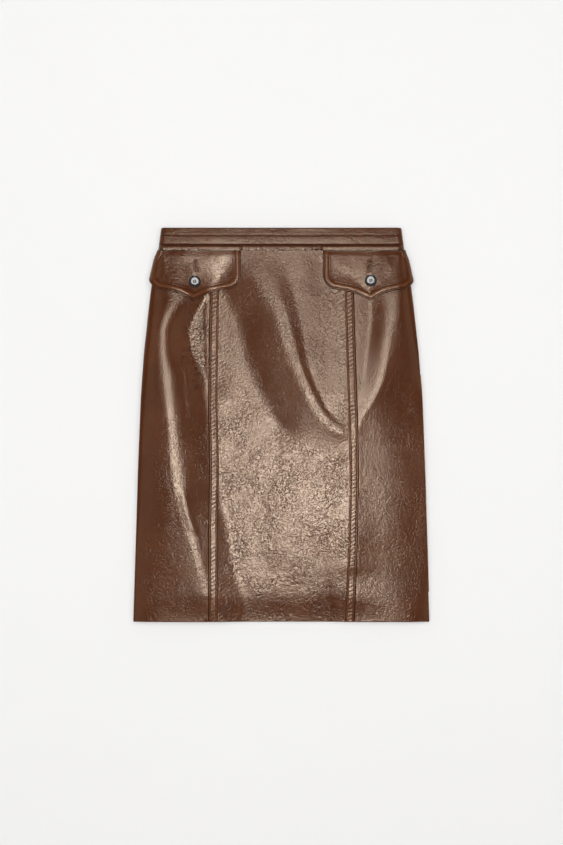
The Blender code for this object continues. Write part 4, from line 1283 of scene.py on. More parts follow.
    def side(self, side: Side) -> bpy.types.Object:
        """A front side panel, from its long seam over the roll to the side seam."""
        word = side.name.lower()
        y = self.rows(self.row_step)
        seam = np.abs(self.tube.long_seam(side, y)) + SEAM_GAP / 2
        edge = self.tube.level("half_width", y)
        dense = np.array([0, 0.2, 0.5, 0.9, 1.4, 2.0]) / 1000
        turns = np.linspace(0, math.pi / 2, 13)[1:]
        length = edge - self.side_roll - seam
        count = round(float(length.mean()) / self.column_step)
        flat = dense[-1] + (length[:, None] - dense[-1]) * np.linspace(0, 1, count + 1)[1:]
        near = seam[:, None] + np.concatenate([np.broadcast_to(dense, (len(y), len(dense))), flat], axis=1)
        rolled = edge[:, None] - self.side_roll * (1 - np.sin(turns))
        x = side.value * np.concatenate([near, rolled], axis=1)
        rows = np.broadcast_to(y[:, None], x.shape)
        from_seam = np.abs(x) - seam[:, None]
        z = self.tube.front(x, rows) - self.seam_dip(from_seam)
        z[:, -1] += SEAM_GAP / 2
        outer = np.stack([x, rows, z], axis=2)
        normals = grid_normals(outer, side.value)
        squared(normals, FIRST_COLUMN, X_AXIS)
        squared(normals, LAST_COLUMN, Z_AXIS)
        squared(normals, LAST_ROW, Y_AXIS)
        self.finish_hem(outer, normals, rows)
        inner = outer - normals * self.wall(rows)[..., None]
        # Painted shade along the long seam.
        painted_shade = 0.5 * bell(from_seam, 0.0015)
        crinkle = 0.8 * self.crinkled(x, rows) * ease((edge[:, None] - np.abs(x)) / 0.012)
        marks = {"crinkle": crinkle, "painted_shade": painted_shade}
        shell = Shell(f"front_side_panel_{word}", outer, inner, side.value, marks)
        flat_size = (round(float((edge - seam).max()) + 0.03, 3), round(float(y[-1] - y[0]) + 0.045, 3))
        return self.dress(shell, f"front_side_{word}", flat_size, [f"back_{word}"])

    def back(self, side: Side) -> bpy.types.Object:
        """A back panel, flat on the surface, from the centre-back seam to the side seam."""
        word = side.name.lower()
        y = self.rows(self.back_step)
        edge = self.tube.level("half_width", y)
        roll = UNDER_ROLL * self.tube.level("seam_height", y)
        start = SEAM_GAP / 2
        dense = np.array([0, 0.3, 0.8, 1.5, 3.0]) / 1000
        count = round(float((edge - roll).mean()) / self.back_step)
        flat = dense[-1] + ((edge - roll)[:, None] - start - dense[-1]) * np.linspace(0, 1, count + 1)[1:]
        near = start + np.concatenate([np.broadcast_to(dense, (len(y), len(dense))), flat], axis=1)
        turns = np.linspace(0, math.pi / 2, 8)[1:]
        rolled = edge[:, None] - roll[:, None] * (1 - np.sin(turns))
        x = side.value * np.concatenate([near, rolled], axis=1)
        rows = np.broadcast_to(y[:, None], x.shape)
        from_seam = np.abs(x) - start
        lift = 0.0003 * Wrinkles(91).creased(x, rows, 0.016) * ease(from_seam / 0.006)
        z = self.tube.back(x, rows) + lift * ease((edge[:, None] - np.abs(x) - 0.01) / 0.01)
        z = z + rounded_edge(from_seam, 0.0008) * 0.6
        z[:, -1] -= SEAM_GAP / 2
        outer = np.stack([x, rows, z], axis=2)
        normals = grid_normals(outer, -side.value)
        squared(normals, FIRST_COLUMN, X_AXIS)
        squared(normals, LAST_COLUMN, Z_AXIS)
        squared(normals, LAST_ROW, Y_AXIS)
        squared(normals, FIRST_ROW, Y_AXIS)
        self.finish_hem(outer, normals, rows)
        inner = outer - normals * self.wall(rows)[..., None]
        crinkle = 0.7 * self.crinkled(x, rows)
        # Painted shade along the centre-back seam.
        marks = {"crinkle": crinkle, "painted_shade": 0.5 * bell(from_seam, 0.0015)}
        shell = Shell(f"back_panel_{word}", outer, inner, -side.value, marks)
        flat_size = (round(float(edge.max()) + 0.03, 3), round(float(y[-1] - y[0]) + 0.045, 3))
        return self.dress(shell, f"back_{word}", flat_size, ["floor"])


# --- Waistband -------------------------------------------------------------------------------------------


@dataclass
class Waistband:
    """The doubled band, one piece across the front and two at the back."""

    tube: Tube
    wardrobe: Wardrobe
    relief: tuple[tuple[float, float], ...] = (
        (0.0, 0.0),
        (1.5, 0.02),
        (6.0, 0.12),
        (10.2, 0.22),
        (11.4, -0.35),
        (12.8, 0.12),
        (18.5, 0.25),
        (24.0, 0.18),
        (25.7, -0.75),
        (26.8, 0.10),
        (28.0, 1.15),
        (29.0, 1.30),
        (31.2, 1.30),
        (32.4, 1.05),
        (34.2, 0.75),
    )
    ridge_over_flap: float = 0.0011
    flap_inner_edge: float = 0.061
    stitch_rows: tuple[float, float] = (0.0114, 0.0259)
    column_step: float = 0.0016
    row_step: float = 0.0007
    roll: float = 0.010
    gather_place: float = 0.0300
    gather_pitch: float = 0.0042
    gather_height: float = 0.00007
    slider_half: float = 0.0011
    slider_reach: float = 0.0025
    stitch_lines: list[tuple[Grid, Grid]] = field(default_factory=list)

    def stands_out(self, x: Grid, below: Grid) -> Grid:
        """How far the band's face stands out from the tube, at a distance below its top edge."""
        places = [row[0] / 1000 for row in self.relief]
        plain = smooth_value(places, [row[1] / 1000 for row in self.relief], below)
        over = ease((np.abs(x) - self.flap_inner_edge) / 0.005 + 0.5)
        ridge = ease((below - 0.0262) / 0.003)
        beads = Wrinkles(53).smooth(x / 0.0055, below / 0.03) * ease((below - 0.026) / 0.003)
        wander = 0.0001 * Wrinkles(54).smooth(x / 0.03, below / 0.02) * ease(below / 0.004)
        fine = 0.00004 * Wrinkles(55).creased(x, below, 0.007)
        return plain + self.ridge_over_flap * over * ridge + 0.00016 * beads * (1 - over) + wander + fine

    def front(self) -> bpy.types.Object:
        """The band across the front, from side seam to side seam."""
        low = WAIST_SEAM_Y + SEAM_GAP / 2
        count = round((WAIST_TOP_Y - 0.0013 - low) / self.row_step)
        top = WAIST_TOP_Y - np.array([0.0013, 0.0009, 0.0006, 0.0003, 0.0001, 0])
        y = np.concatenate([np.linspace(low, top[0], count + 1)[:-1], top])
        edge = self.tube.level("half_width", y)
        turns = np.linspace(0, math.pi / 2, 11)[1:]
        columns = 2 * round((float(edge.mean()) - self.roll) / self.column_step)
        flat = (edge - self.roll)[:, None] * np.linspace(-1, 1, columns + 1)
        rolled = edge[:, None] - self.roll * (1 - np.sin(turns))
        x = np.concatenate([-rolled[:, ::-1], flat, rolled], axis=1)
        rows = np.broadcast_to(y[:, None], x.shape)
        below = WAIST_TOP_Y - rows
        z = self.tube.plain_front(x, rows)
        z[:, [0, -1]] += SEAM_GAP / 2
        outer = np.stack([x, rows, z], axis=2)
        normals = grid_normals(outer, 1)
        squared(normals, FIRST_COLUMN, Z_AXIS)
        squared(normals, LAST_COLUMN, Z_AXIS)
        squared(normals, FIRST_ROW, Y_AXIS)
        squared(normals, LAST_ROW, Y_AXIS)
        inner = outer - normals * DOUBLED
        from_side = ease((edge[:, None] - np.abs(x)) / 0.006)
        relief = self.stands_out(x, below) * from_side - rounded_edge(below, 0.0012)
        outer = outer + normals * relief[..., None]
        crinkle = np.full(z.shape, 0.7)
        # Painted shade in the two stitch grooves and along the lower edge at the waist seam.
        groove = bell(below - self.stitch_rows[1], 0.0020) + bell(below - self.stitch_rows[0], 0.0012) * 0.6
        groove = groove + ease((below - 0.0326) / 0.001)
        gather, phase = self.gathers(x, below)
        marks = {"crinkle": crinkle, "gather": gather, "phase": phase, "painted_shade": np.clip(groove, 0, 1)}
        shell = Shell("waistband_front_shell", outer, inner, 1, marks)
        made = shell.mesh([self.wardrobe.leather, self.wardrobe.leather])
        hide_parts("waistband_front")
        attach(made, "garment")
        for place in self.stitch_rows:
            row = int(np.argmin(np.abs(y - (WAIST_TOP_Y - place))))
            inside = np.abs(x[row]) < edge[row] - 0.001
            self.stitch_lines.append((outer[row][inside], normals[row][inside]))
        LOG.info("waistband_front: %d faces", len(made.data.polygons))
        return made

    def gathers(self, x: Grid, below: Grid) -> tuple[Grid, Grid]:
        """The height and the phase of the small gathers along the band's stitched ridge."""
        drift = Wrinkles(57).smooth(x / 0.02, below / 0.02) * 1.5
        phase = 2 * np.pi * (x + 0.4 * below) / self.gather_pitch + drift
        between_flaps = 1 - ease((np.abs(x) - self.flap_inner_edge) / 0.005 + 0.5)
        return self.gather_height * bell(below - self.gather_place, 0.0042) * between_flaps, phase

    def back(self, side: Side) -> bpy.types.Object:
        """One half of the band at the back, which lies flat."""
        word = side.name.lower()
        low = WAIST_SEAM_Y + SEAM_GAP / 2
        top = WAIST_TOP_Y - np.array([0.0007, 0.0003, 0])
        y = np.concatenate([np.linspace(low, WAIST_TOP_Y - 0.0012, 33), top])
        edge = self.tube.level("half_width", y)
        roll = UNDER_ROLL * self.tube.level("seam_height", y)
        near = 1 - ease((np.abs(y - SLIDER_Y) - self.slider_reach) / 0.002)
        slit = SEAM_GAP / 2 + (self.slider_half - SEAM_GAP / 2) * near
        count = round(float((edge - roll).mean()) / 0.002)
        start = slit[:, None] + ((edge - roll) - slit)[:, None] * np.linspace(0, 1, count + 1)
        turns = np.linspace(0, math.pi / 2, 8)[1:]
        rolled = edge[:, None] - roll[:, None] * (1 - np.sin(turns))
        x = side.value * np.concatenate([start, rolled], axis=1)
        rows = np.broadcast_to(y[:, None], x.shape)
        z = self.tube.back(x, rows)
        z[:, -1] -= SEAM_GAP / 2
        outer = np.stack([x, rows, z], axis=2)
        normals = grid_normals(outer, -side.value)
        squared(normals, FIRST_COLUMN, X_AXIS)
        squared(normals, LAST_COLUMN, Z_AXIS)
        squared(normals, FIRST_ROW, Y_AXIS)
        squared(normals, LAST_ROW, Y_AXIS)
        below = WAIST_TOP_Y - rows
        inner = outer - normals * DOUBLED
        groove = sum(bell(below - place, 0.001) for place in self.stitch_rows)
        outer = outer - normals * (rounded_edge(below, 0.0012) * 0.4 + 0.0002 * groove)[..., None]
        # Painted shade in the stitch grooves.
        marks = {"crinkle": np.full(z.shape, 0.3), "painted_shade": 0.5 * groove}
        shell = Shell(f"waistband_back_shell_{word}", outer, inner, -side.value, marks)
        made = shell.mesh([self.wardrobe.leather, self.wardrobe.leather])
        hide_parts(f"waistband_back_{word}")
        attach(made, "garment")
        LOG.info("waistband_back_%s: %d faces", word, len(made.data.polygons))
        return made


# --- Pocket flaps and buttons ----------------------------------------------------------------------------


@dataclass
class Flap:
    """One pointed, doubled pocket flap with its buttonhole and its place for a button."""

    tube: Tube
    side: Side
    point_x: float
    hole_shift: float
    button_shift: float
    button_drop: float
    half: float = 0.0720
    corner: float = 0.0200
    past_seam: float = 0.0015
    edge: tuple[tuple[float, float], ...] = (
        (0.0000, 0.0762),
        (0.0065, 0.0730),
        (0.0150, 0.0684),
        (0.0240, 0.0648),
        (0.0340, 0.0622),
        (0.0440, 0.0602),
        (0.0520, 0.0588),
        (0.0720, 0.0568),
    )
    tuck: float = 0.0050
    tuck_height: float = 0.022
    stitch_rows: tuple[float, float] = (0.0027, 0.0097)
    hole_top: float = 0.0185
    hole_foot: float = 0.0335
    hole_half: float = 0.0005
    eye_half: float = 0.0013
    clear: float = 0.0009
    clear_below: float = 0.0004
    clear_foot: float = 0.0016
    table_rows: int = 83
    table_columns: int = 341
    _table: dict[str, Grid] = field(default_factory=dict)

    def depth(self, from_point: Grid) -> Grid:
        """How deep the flap hangs at a distance from its point, with its lower corners rounded."""
        away = np.abs(from_point)
        edge = smooth_value([row[0] for row in self.edge], [row[1] for row in self.edge], away)
        into_corner = np.clip(away - (self.half - self.corner), 0, self.corner)
        return edge - self.corner + np.sqrt(np.maximum(self.corner**2 - into_corner**2, 0))

    def _wrap(self) -> None:
        """Works out where each place on the unrolled flap comes on the tube."""
        heights = np.linspace(WAIST_SEAM_Y - 0.0800, WAIST_SEAM_Y + 0.002, self.table_rows)
        places = np.linspace(-0.085, 0.085, self.table_columns)
        x_of = np.zeros((self.table_rows, self.table_columns))
        z_of = np.zeros_like(x_of)
        for i, y in enumerate(heights):
            x, z = self.tube.section(self.side, float(y))
            along = np.concatenate([[0], np.cumsum(np.hypot(np.diff(x), np.diff(z)))])
            outermost = int(np.argmax(x))
            start = float(np.interp(self.point_x, x[: outermost + 1], along[: outermost + 1]))
            reach = min(self.half, along[outermost] + self.past_seam - start)
            reach -= self.tuck * (1 - float(ease((WAIST_SEAM_Y - SEAM_GAP / 2 - y) / self.tuck_height)))
            place = start + np.where(places > 0, places * reach / self.half, places)
            x_of[i], z_of[i] = np.interp(place, along, x), np.interp(place, along, z)
        for name, values in (("x", x_of), ("z", z_of)):
            kernel = np.array([1, 2, 3, 2, 1]) / 9
            padded = np.pad(values, ((0, 0), (2, 2)), mode="edge")
            self._table[name] = sum(
                part * padded[:, k : k + self.table_columns] for k, part in enumerate(kernel)
            )
        self._table["y"], self._table["s"] = heights, places

    def _read(self, name: str, from_point: Grid, y: Grid) -> Grid:
        """Reads the wrapped table between its entries."""
        if not self._table:
            self._wrap()
        heights, places, values = self._table["y"], self._table["s"], self._table[name]
        row = np.clip((y - heights[0]) / (heights[1] - heights[0]), 0, len(heights) - 1.001)
        column = np.clip((from_point - places[0]) / (places[1] - places[0]), 0, len(places) - 1.001)
        i, j = row.astype(int), column.astype(int)
        t, u = row - i, column - j
        low = values[i, j] * (1 - u) + values[i, j + 1] * u
        high = values[i + 1, j] * (1 - u) + values[i + 1, j + 1] * u
        return low * (1 - t) + high * t

    def point(self, from_point: Grid, share: Grid, out: Grid | float) -> Grid:
        """Places on the flap.

        Args:
            from_point: Distances from its point towards the side seam, measured along the tube.
            share: Shares of its depth there.
            out: Heights above its underside.

        Returns:
            The points.
        """
        y = WAIST_SEAM_Y - SEAM_GAP / 2 - share * self.depth(from_point)
        x, z = self._read("x", from_point, y), self._read("z", from_point, y)
        step = 0.002
        tangent_x = self._read("x", from_point + step, y) - self._read("x", from_point - step, y)
        tangent_z = self._read("z", from_point + step, y) - self._read("z", from_point - step, y)
        length = np.hypot(tangent_x, tangent_z)
        lift = self.clear + self.clear_below * ease(share / 0.15) + self.clear_foot * share**2 + out
        return np.stack(
            [self.side.value * (x - tangent_z / length * lift), y, z + tangent_x / length * lift], axis=-1
        )

    def outline(self) -> Grid:
        """The flap's edge, unrolled: down one side, along the foot and up the other."""
        across = np.linspace(-self.half, self.half, 400)
        foot = np.stack([across, -self.depth(across)], axis=1)
        drops = (0.0, 0.02, 0.0372)
        first = np.array([[-self.half, -drop] for drop in drops])
        last = np.array([[self.half, -drop] for drop in reversed(drops)])
        return np.concatenate([first, foot, last])

    def edge_distance(self, from_point: Grid, down: Grid) -> Grid:
        """Distance to the flap's sides and foot, unrolled."""
        signed, _ = nearest_on(self.outline()[::3], from_point, -down)
        return np.abs(signed)


@dataclass
class Flaps:
    """Both pocket flaps, their buttonholes and buttons."""

    tube: Tube
    wardrobe: Wardrobe
    raised: float = 0.00045
    groove: float = 0.00040
    gather_height: float = 0.000022
    stitch_lines: list[tuple[Grid, Grid]] = field(default_factory=list)
    hole_lines: list[tuple[Grid, Grid]] = field(default_factory=list)

    def both(self) -> tuple[Flap, Flap]:
        """The two flaps."""
        return (
            Flap(self.tube, Side.LEFT, 0.1330, 0.0038, 0.0015, 0.0479),
            Flap(self.tube, Side.RIGHT, 0.1348, 0.0010, -0.0008, 0.0464),
        )

    def columns(self, flap: Flap) -> Grid:
        """The flap's columns, close together at its ends and at its buttonhole."""
        rim = (0, 0.15, 0.4, 0.8, 1.3, 1.9, 2.4, 2.9, 3.5, 4.5, 5.7, 7.0, 8.2, 9.0)
        behind_rim = (9.5, 10.0, 10.8, 12.0, 13.2)
        dense = tuple(0.001 * d for d in rim + behind_rim)
        plain = graded(2 * flap.half, dense, 0.0014) - flap.half
        hole = -flap.hole_shift
        plain = plain[np.abs(plain - hole) > 0.0030]
        near = hole + 0.001 * np.array([-2.4, -1.8, -1.2, -0.5, 0.5, 1.2, 1.8, 2.4])
        return np.sort(np.concatenate([plain, near]))

    def relief(self, flap: Flap, from_point: Grid, down: Grid) -> Grid:
        """How far the flap's face stands out, from its stitched edge and its buttonhole."""
        from_edge = flap.edge_distance(from_point, down)
        first, second = flap.stitch_rows
        rim = self.raised * (1 - ease((from_edge - second) / 0.0022))
        rim = rim + 0.0002 * bell(from_edge - (first + second) / 2, 0.0036)
        grooves = self.groove * (bell(from_edge - first, 0.0010) + bell(from_edge - second, 0.0012))
        hole = -flap.hole_shift
        above = np.clip((flap.hole_top - down) / 0.004, 0, 1)
        below = np.clip((down - flap.hole_foot) / 0.004, 0, 1)
        along = (1 - above) * (1 - below)
        pout = 0.00025 * bell(from_point - hole, 0.0060) * along
        swell = 0.00042 * Wrinkles(61).smooth(from_point / 0.03 + 9 * flap.side.value, down / 0.03)
        fine = 0.00005 * Wrinkles(62).creased(from_point, down, 0.010)
        edge_fade = ease(from_edge / 0.006)
        return rim - grooves + pout + (swell + fine) * edge_fade - rounded_edge(from_edge, 0.0011)

    def rows(self) -> tuple[Grid, Grid]:
        """The rows as a share of the depth above the stitched foot, and as a distance up from the foot."""
        foot = 0.001 * np.array([13.2, 12.0, 10.8, 10.2, 9.7, 9.2, 8.4, 7.2, 6.0, 4.8, 3.8, 3.2, 2.7, 2.2])
        foot = np.concatenate([foot, 0.001 * np.array([1.6, 1.1, 0.7, 0.35, 0.12, 0.0])])
        return np.linspace(0, 1, 44)[:-1], foot

    def flap(self, flap: Flap) -> bpy.types.Object:
        """One flap as a closed shell with a keyhole through it."""
        word = flap.side.name.lower()
        columns = self.columns(flap)
        upper, foot = self.rows()
        depth = flap.depth(columns)
        down = np.concatenate([upper[:, None] * (depth - foot[0]), depth - foot[:, None]])
        from_point = np.broadcast_to(columns, down.shape).copy()
        hole = -flap.hole_shift
        centre = int(np.argmin(np.abs(columns - (hole - 0.0005))))
        middle_down = down[:, centre]
        eye = bell(middle_down - (flap.hole_foot - 0.0015), 0.0022)
        widening = (flap.eye_half - flap.hole_half) * eye * (middle_down < flap.hole_foot)
        from_point[:, centre] -= widening
        from_point[:, centre + 1] += widening
        share = down / flap.depth(from_point)
        relief = self.relief(flap, from_point, down)
        outer = flap.point(from_point, share, DOUBLED + relief)
        inner = flap.point(from_point, share, 0.0)
        kept = np.ones((down.shape[0] - 1, down.shape[1] - 1), bool)
        in_hole = (middle_down[:-1] > flap.hole_top) & (middle_down[1:] < flap.hole_foot)
        kept[in_hole, centre] = False
        from_edge = flap.edge_distance(from_point, down)
        first, second = flap.stitch_rows
        between = bell(from_edge - (first + second) / 2, 0.0045)
        drift = Wrinkles(63).smooth(from_point / 0.02, down / 0.02) * 1.5
        phase = 2 * np.pi * (from_point + down) / 0.0043 + drift
        # Painted shade along the stitch rows, round the edge, at the root under the band and beside the
        # buttonhole.
        painted_shade = 0.45 * bell(from_edge - second, 0.0016) + 0.35 * bell(from_edge - first, 0.0010)
        painted_shade = painted_shade + (1 - ease((from_edge - 0.0003) / 0.0007)) + (1 - ease((down - 0.0006) / 0.0014))
        beside_hole = (down > flap.hole_top - 0.002) & (down < flap.hole_foot + 0.002)
        round_hole = bell(from_point - hole, 0.0035) * beside_hole
        painted_shade = np.clip(painted_shade + 0.25 * round_hole, 0, 1)
        crinkle = 0.30 * ease(from_edge / 0.012) + 0.05
        # Painted highlight on the raised rim between the stitch rows.
        painted_highlight = 0.35 * between
        gather = self.gather_height * between
        marks = {"crinkle": crinkle, "gather": gather, "phase": phase, "painted_shade": painted_shade, "painted_highlight": painted_highlight}
        shell = Shell(f"pocket_flap_shell_{word}", outer, inner, -flap.side.value, marks, kept)
        made = shell.mesh([self.wardrobe.leather, self.wardrobe.leather])
        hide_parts(f"pocket_flap_{word}")
        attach(made, "garment")
        area = round(share_of(shell), 4)
        flat_size = (round(2 * flap.half, 3), round(float(flap.depth(np.array(0.0))), 3))
        self.lines(flap)
        LOG.info("pocket_flap_%s: %d faces", word, len(made.data.polygons))
        return made

    def lines(self, flap: Flap) -> None:
        """Adds the flap's rows of topstitching and the edge of its buttonhole."""
        outline = flap.outline()
        dense = spline(outline[::12], 6)
        tangent = np.gradient(dense, axis=0)
        tangent /= np.linalg.norm(tangent, axis=1, keepdims=True)
        inward = np.stack([-tangent[:, 1], tangent[:, 0]], axis=1)
        for place in flap.stitch_rows:
            row = dense + inward * place
            off = np.abs(flap.edge_distance(row[:, 0], -row[:, 1]) - place)
            fits = (row[:, 1] < -0.0006) & (off < 0.0003)
            self.stitch_lines.append(self.on_flap_line(flap, row[fits], -0.0002))
        hole = -flap.hole_shift
        turns = np.linspace(-0.35, math.pi + 0.35, 12)
        eye_y = -(flap.hole_foot - 0.0014)
        eye_radius, beside = 0.0016, 0.0010
        eye = [(hole + eye_radius * math.cos(-t), eye_y + eye_radius * math.sin(-t)) for t in turns]
        top_y, foot_y = -flap.hole_top - 0.0002, eye_y + 0.0022
        sides = [(hole + beside, top_y), (hole + beside, foot_y)]
        back = [(hole - beside, foot_y), (hole - beside, top_y)]
        self.hole_lines.append(self.on_flap_line(flap, spline(np.array(sides + eye + back), 5), 0.0))

    def on_flap_line(self, flap: Flap, line: Grid, above: float) -> tuple[Grid, Grid]:
        """A line for stitches on a flap's face, and its normals there."""
        down = -line[:, 1]
        share = down / flap.depth(line[:, 0])
        out = DOUBLED + self.relief(flap, line[:, 0], down) + above
        points = flap.point(line[:, 0], share, out)
        normals = flap.point(line[:, 0], share, out + 0.001) - points
        return points, normals / np.linalg.norm(normals, axis=1, keepdims=True)


@dataclass
class Buttons:
    """Two turned buttons, sewn on through four holes with two bars of thread."""

    wardrobe: Wardrobe
    radius: float = 0.0090
    hole_radius: float = 0.00085
    hole_place: float = 0.0019
    thread_radius: float = 0.00029
    strand_apart: float = 0.00042
    bar_length: float = 1.15
    bar_place: float = 0.74
    sides: int = 72
    lean: float = math.radians(3.0)
    profile: tuple[tuple[float, float], ...] = (
        (0.0, 0.0),
        (6.8, 0.0),
        (7.9, 0.15),
        (8.6, 0.6),
        (8.95, 1.2),
        (9.0, 1.6),
        (8.85, 2.2),
        (8.5, 2.75),
        (8.2, 3.0),
        (7.95, 2.97),
        (7.5, 2.68),
        (7.0, 2.28),
        (6.6, 1.90),
        (6.35, 1.65),
        (6.1, 1.52),
        (5.9, 1.50),
        (3.0, 1.50),
        (0.0, 1.50),
    )

    def place(self, flap: Flap) -> Matrix:
        """The place and tilt of a flap's button, with Z out of the flap."""
        from_point = -flap.button_shift
        depth = float(flap.depth(np.array(from_point)))
        share = (flap.button_drop - SEAM_GAP / 2) / depth

        def near(out: float, down: float) -> Vector:
            at = flap.point(np.array([from_point + out]), np.array([share + down / depth]), DOUBLED)
            return Vector(at[0])

        middle = near(0, 0)
        normal = Vector((-flap.side.value * math.tan(self.lean), 0.02, 1.0)).normalized()
        up = Vector((0.0, 1.0, 0.0))
        across = up.cross(normal).normalized()
        turns = [2 * math.pi * i / 28 for i in range(28)]
        rim = [near(self.radius * math.cos(t), self.radius * math.sin(t)) for t in turns]
        lift = max(0.0, *((at - middle).dot(normal) for at in rim)) + 1.5 * SEAM_GAP
        turn = Matrix((across, normal.cross(across), normal)).transposed()
        return Matrix.Translation(middle + lift * normal) @ turn.to_4x4()

    def button(self, flap: Flap) -> bpy.types.Object:
        """One button with its holes cut through."""
        word = flap.side.name.lower()
        builder = bmesh.new()
        rings = []
        turns = [2 * math.pi * i / self.sides for i in range(self.sides)]
        for radius, height in self.profile:
            if radius == 0:
                rings.append([builder.verts.new((0, 0, height / 1000))])
                continue
            ring = [(radius * math.cos(t) / 1000, radius * math.sin(t) / 1000, height / 1000) for t in turns]
            rings.append([builder.verts.new(at) for at in ring])
        for first, second in zip(rings[:-1], rings[1:], strict=True):
            for i in range(self.sides):
                j = (i + 1) % self.sides
                below = [first[i % len(first)], first[j % len(first)]]
                above = [second[j % len(second)], second[i % len(second)]]
                builder.faces.new(list(dict.fromkeys(below + above)))
        bmesh.ops.recalc_face_normals(builder, faces=builder.faces)
        made = self._object(f"button_turned_{word}", builder)
        cutter = bmesh.new()
        for corner in range(4):
            turn = math.pi * (0.5 * corner + 0.25)
            at = (self.hole_place * math.cos(turn), self.hole_place * math.sin(turn), 0.0012)
            bmesh.ops.create_cone(
                cutter,
                cap_ends=True,
                segments=20,
                radius1=self.hole_radius,
                radius2=self.hole_radius,
                depth=0.006,
                matrix=Matrix.Translation(at),
            )
        tool = self._object("hole_cutter", cutter)
        cut = made.modifiers.new("holes", "BOOLEAN")
        cut.operation = "DIFFERENCE"
        cut.solver = "EXACT"
        cut.object = tool
        bpy.context.view_layer.update()
        mesh = bpy.data.meshes.new_from_object(made.evaluated_get(bpy.context.evaluated_depsgraph_get()))
        made.modifiers.remove(cut)
        made.data = mesh
        bpy.data.objects.remove(tool, do_unlink=True)
        mesh.transform(self.place(flap))
        mesh.materials.clear()
        mesh.materials.append(self.wardrobe.button)
        mesh.shade_smooth()
        mesh.set_sharp_from_angle(angle=math.radians(40))
        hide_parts(f"button_{word}")
        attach(made, "garment")
        return made

    def _object(self, name: str, builder: bmesh.types.BMesh) -> bpy.types.Object:
        """An object of a bmesh."""
        mesh = bpy.data.meshes.new(name)
        builder.to_mesh(mesh)
        builder.free()
        return add_object(name, mesh)

    def threads(self, flap: Flap) -> bpy.types.Object:
        """Two slanting bars of thread, each of three strands, between the button's holes."""
        word = flap.side.name.lower()
        builder = bmesh.new()
        tilt = math.radians(-18)
        for bar in (-1, 1):
            for strand in (-1, 0, 1):
                path = []
                for t in np.linspace(0, math.pi, 11):
                    along = self.hole_place * self.bar_length * math.cos(t) * (1 + 0.10 * strand * bar)
                    out = 0.0009 + 0.0016 * math.sin(t) ** 0.5
                    side = bar * self.hole_place * self.bar_place + self.strand_apart * strand
                    path.append(Vector((side, along, out)))
                turn = Matrix.Rotation(math.radians(45) + tilt, 4, "Z")
                self._tube(builder, [turn @ at for at in path])
        made = self._object(f"button_thread_{word}", builder)
        made.data.transform(self.place(flap))
        made.data.materials.append(self.wardrobe.dark_thread)
        made.data.shade_smooth()
        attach(made, "garment")
        return made

    def _tube(self, builder: bmesh.types.BMesh, path: list[Vector], around: int = 8) -> None:
        """Adds a closed round tube of thread along a path."""
        rings = []
        turns = [2 * math.pi * k / around for k in range(around)]
        for i, at in enumerate(path):
            way = (path[min(i + 1, len(path) - 1)] - path[max(i - 1, 0)]).normalized()
            side = way.cross(Vector((0.3, 0.2, 1.0))).normalized()
            up = side.cross(way)
            ring = [side * math.cos(t) + up * math.sin(t) for t in turns]
            rings.append([builder.verts.new(at + self.thread_radius * out) for out in ring])
        faces = []
        for first, second in zip(rings[:-1], rings[1:], strict=True):
            for k in range(around):
                j = (k + 1) % around
                faces.append(builder.faces.new([first[k], first[j], second[j], second[k]]))
        faces.append(builder.faces.new(rings[0][::-1]))
        faces.append(builder.faces.new(rings[-1]))
        bmesh.ops.recalc_face_normals(builder, faces=faces)


# --- The zip ---------------------------------------------------------------------------------------------


@dataclass
class BackZip:
    """The zip inside the centre-back seam: tape, coil, slider and pull tab."""

    tube: Tube
    wardrobe: Wardrobe
    end_y: float = 0.1150
    coil_top_y: float = 0.2850
    coil_lift: float = 0.0014
    coil_pitch: float = 0.0012
    band_lap: float = 0.0078

    def dress(self, nodes: dict[str, bpy.types.Object]) -> None:
        """Gives the zip's CAD nodes their finishes."""
        for name, material in (
            ("zip_tape", self.wardrobe.tape),
            ("zip_slider", self.wardrobe.metal),
            ("zip_pull", self.wardrobe.metal),
        ):
            for slot in nodes[name].material_slots:
                slot.material = material
        LOG.info("zip: tape, slider and pull tab dressed")

    def coil(self, stitches: StitchNodes) -> bpy.types.Object:
        """The closed teeth, laid across the middle of the tape."""
        y = np.linspace(self.end_y + 0.002, self.coil_top_y, 80)
        on_band = ease((y - WAIST_SEAM_Y + self.band_lap) / (self.band_lap - 2 * SEAM_GAP))
        wall = LEATHER + LEATHER * on_band
        z = self.tube.back_lift(np.zeros_like(y), y) + wall + 1.5 * SEAM_GAP + self.coil_lift
        line = np.stack([np.zeros_like(y), y, z], axis=1)
        up = np.broadcast_to(np.array([0.0, 0.0, 1.0]), line.shape).copy()
        size = StitchSize(self.coil_pitch, 0.0030, 0.0008, 0.0006)
        made = stitches.sew("zip_coil", [(line, up)], size, Lay.ACROSS, self.wardrobe.dark_thread)
        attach(made, "garment")
        return made


# --- Studio ----------------------------------------------------------------------------------------------


@dataclass(frozen=True)
class Panel:
    """One studio light panel that faces the floor."""

    name: str
    place: tuple[float, float, float]
    size: tuple[float, float]
    radiance: float
    in_gloss: bool = True
    colour: tuple[float, float, float] = (1.0, 1.0, 1.0)


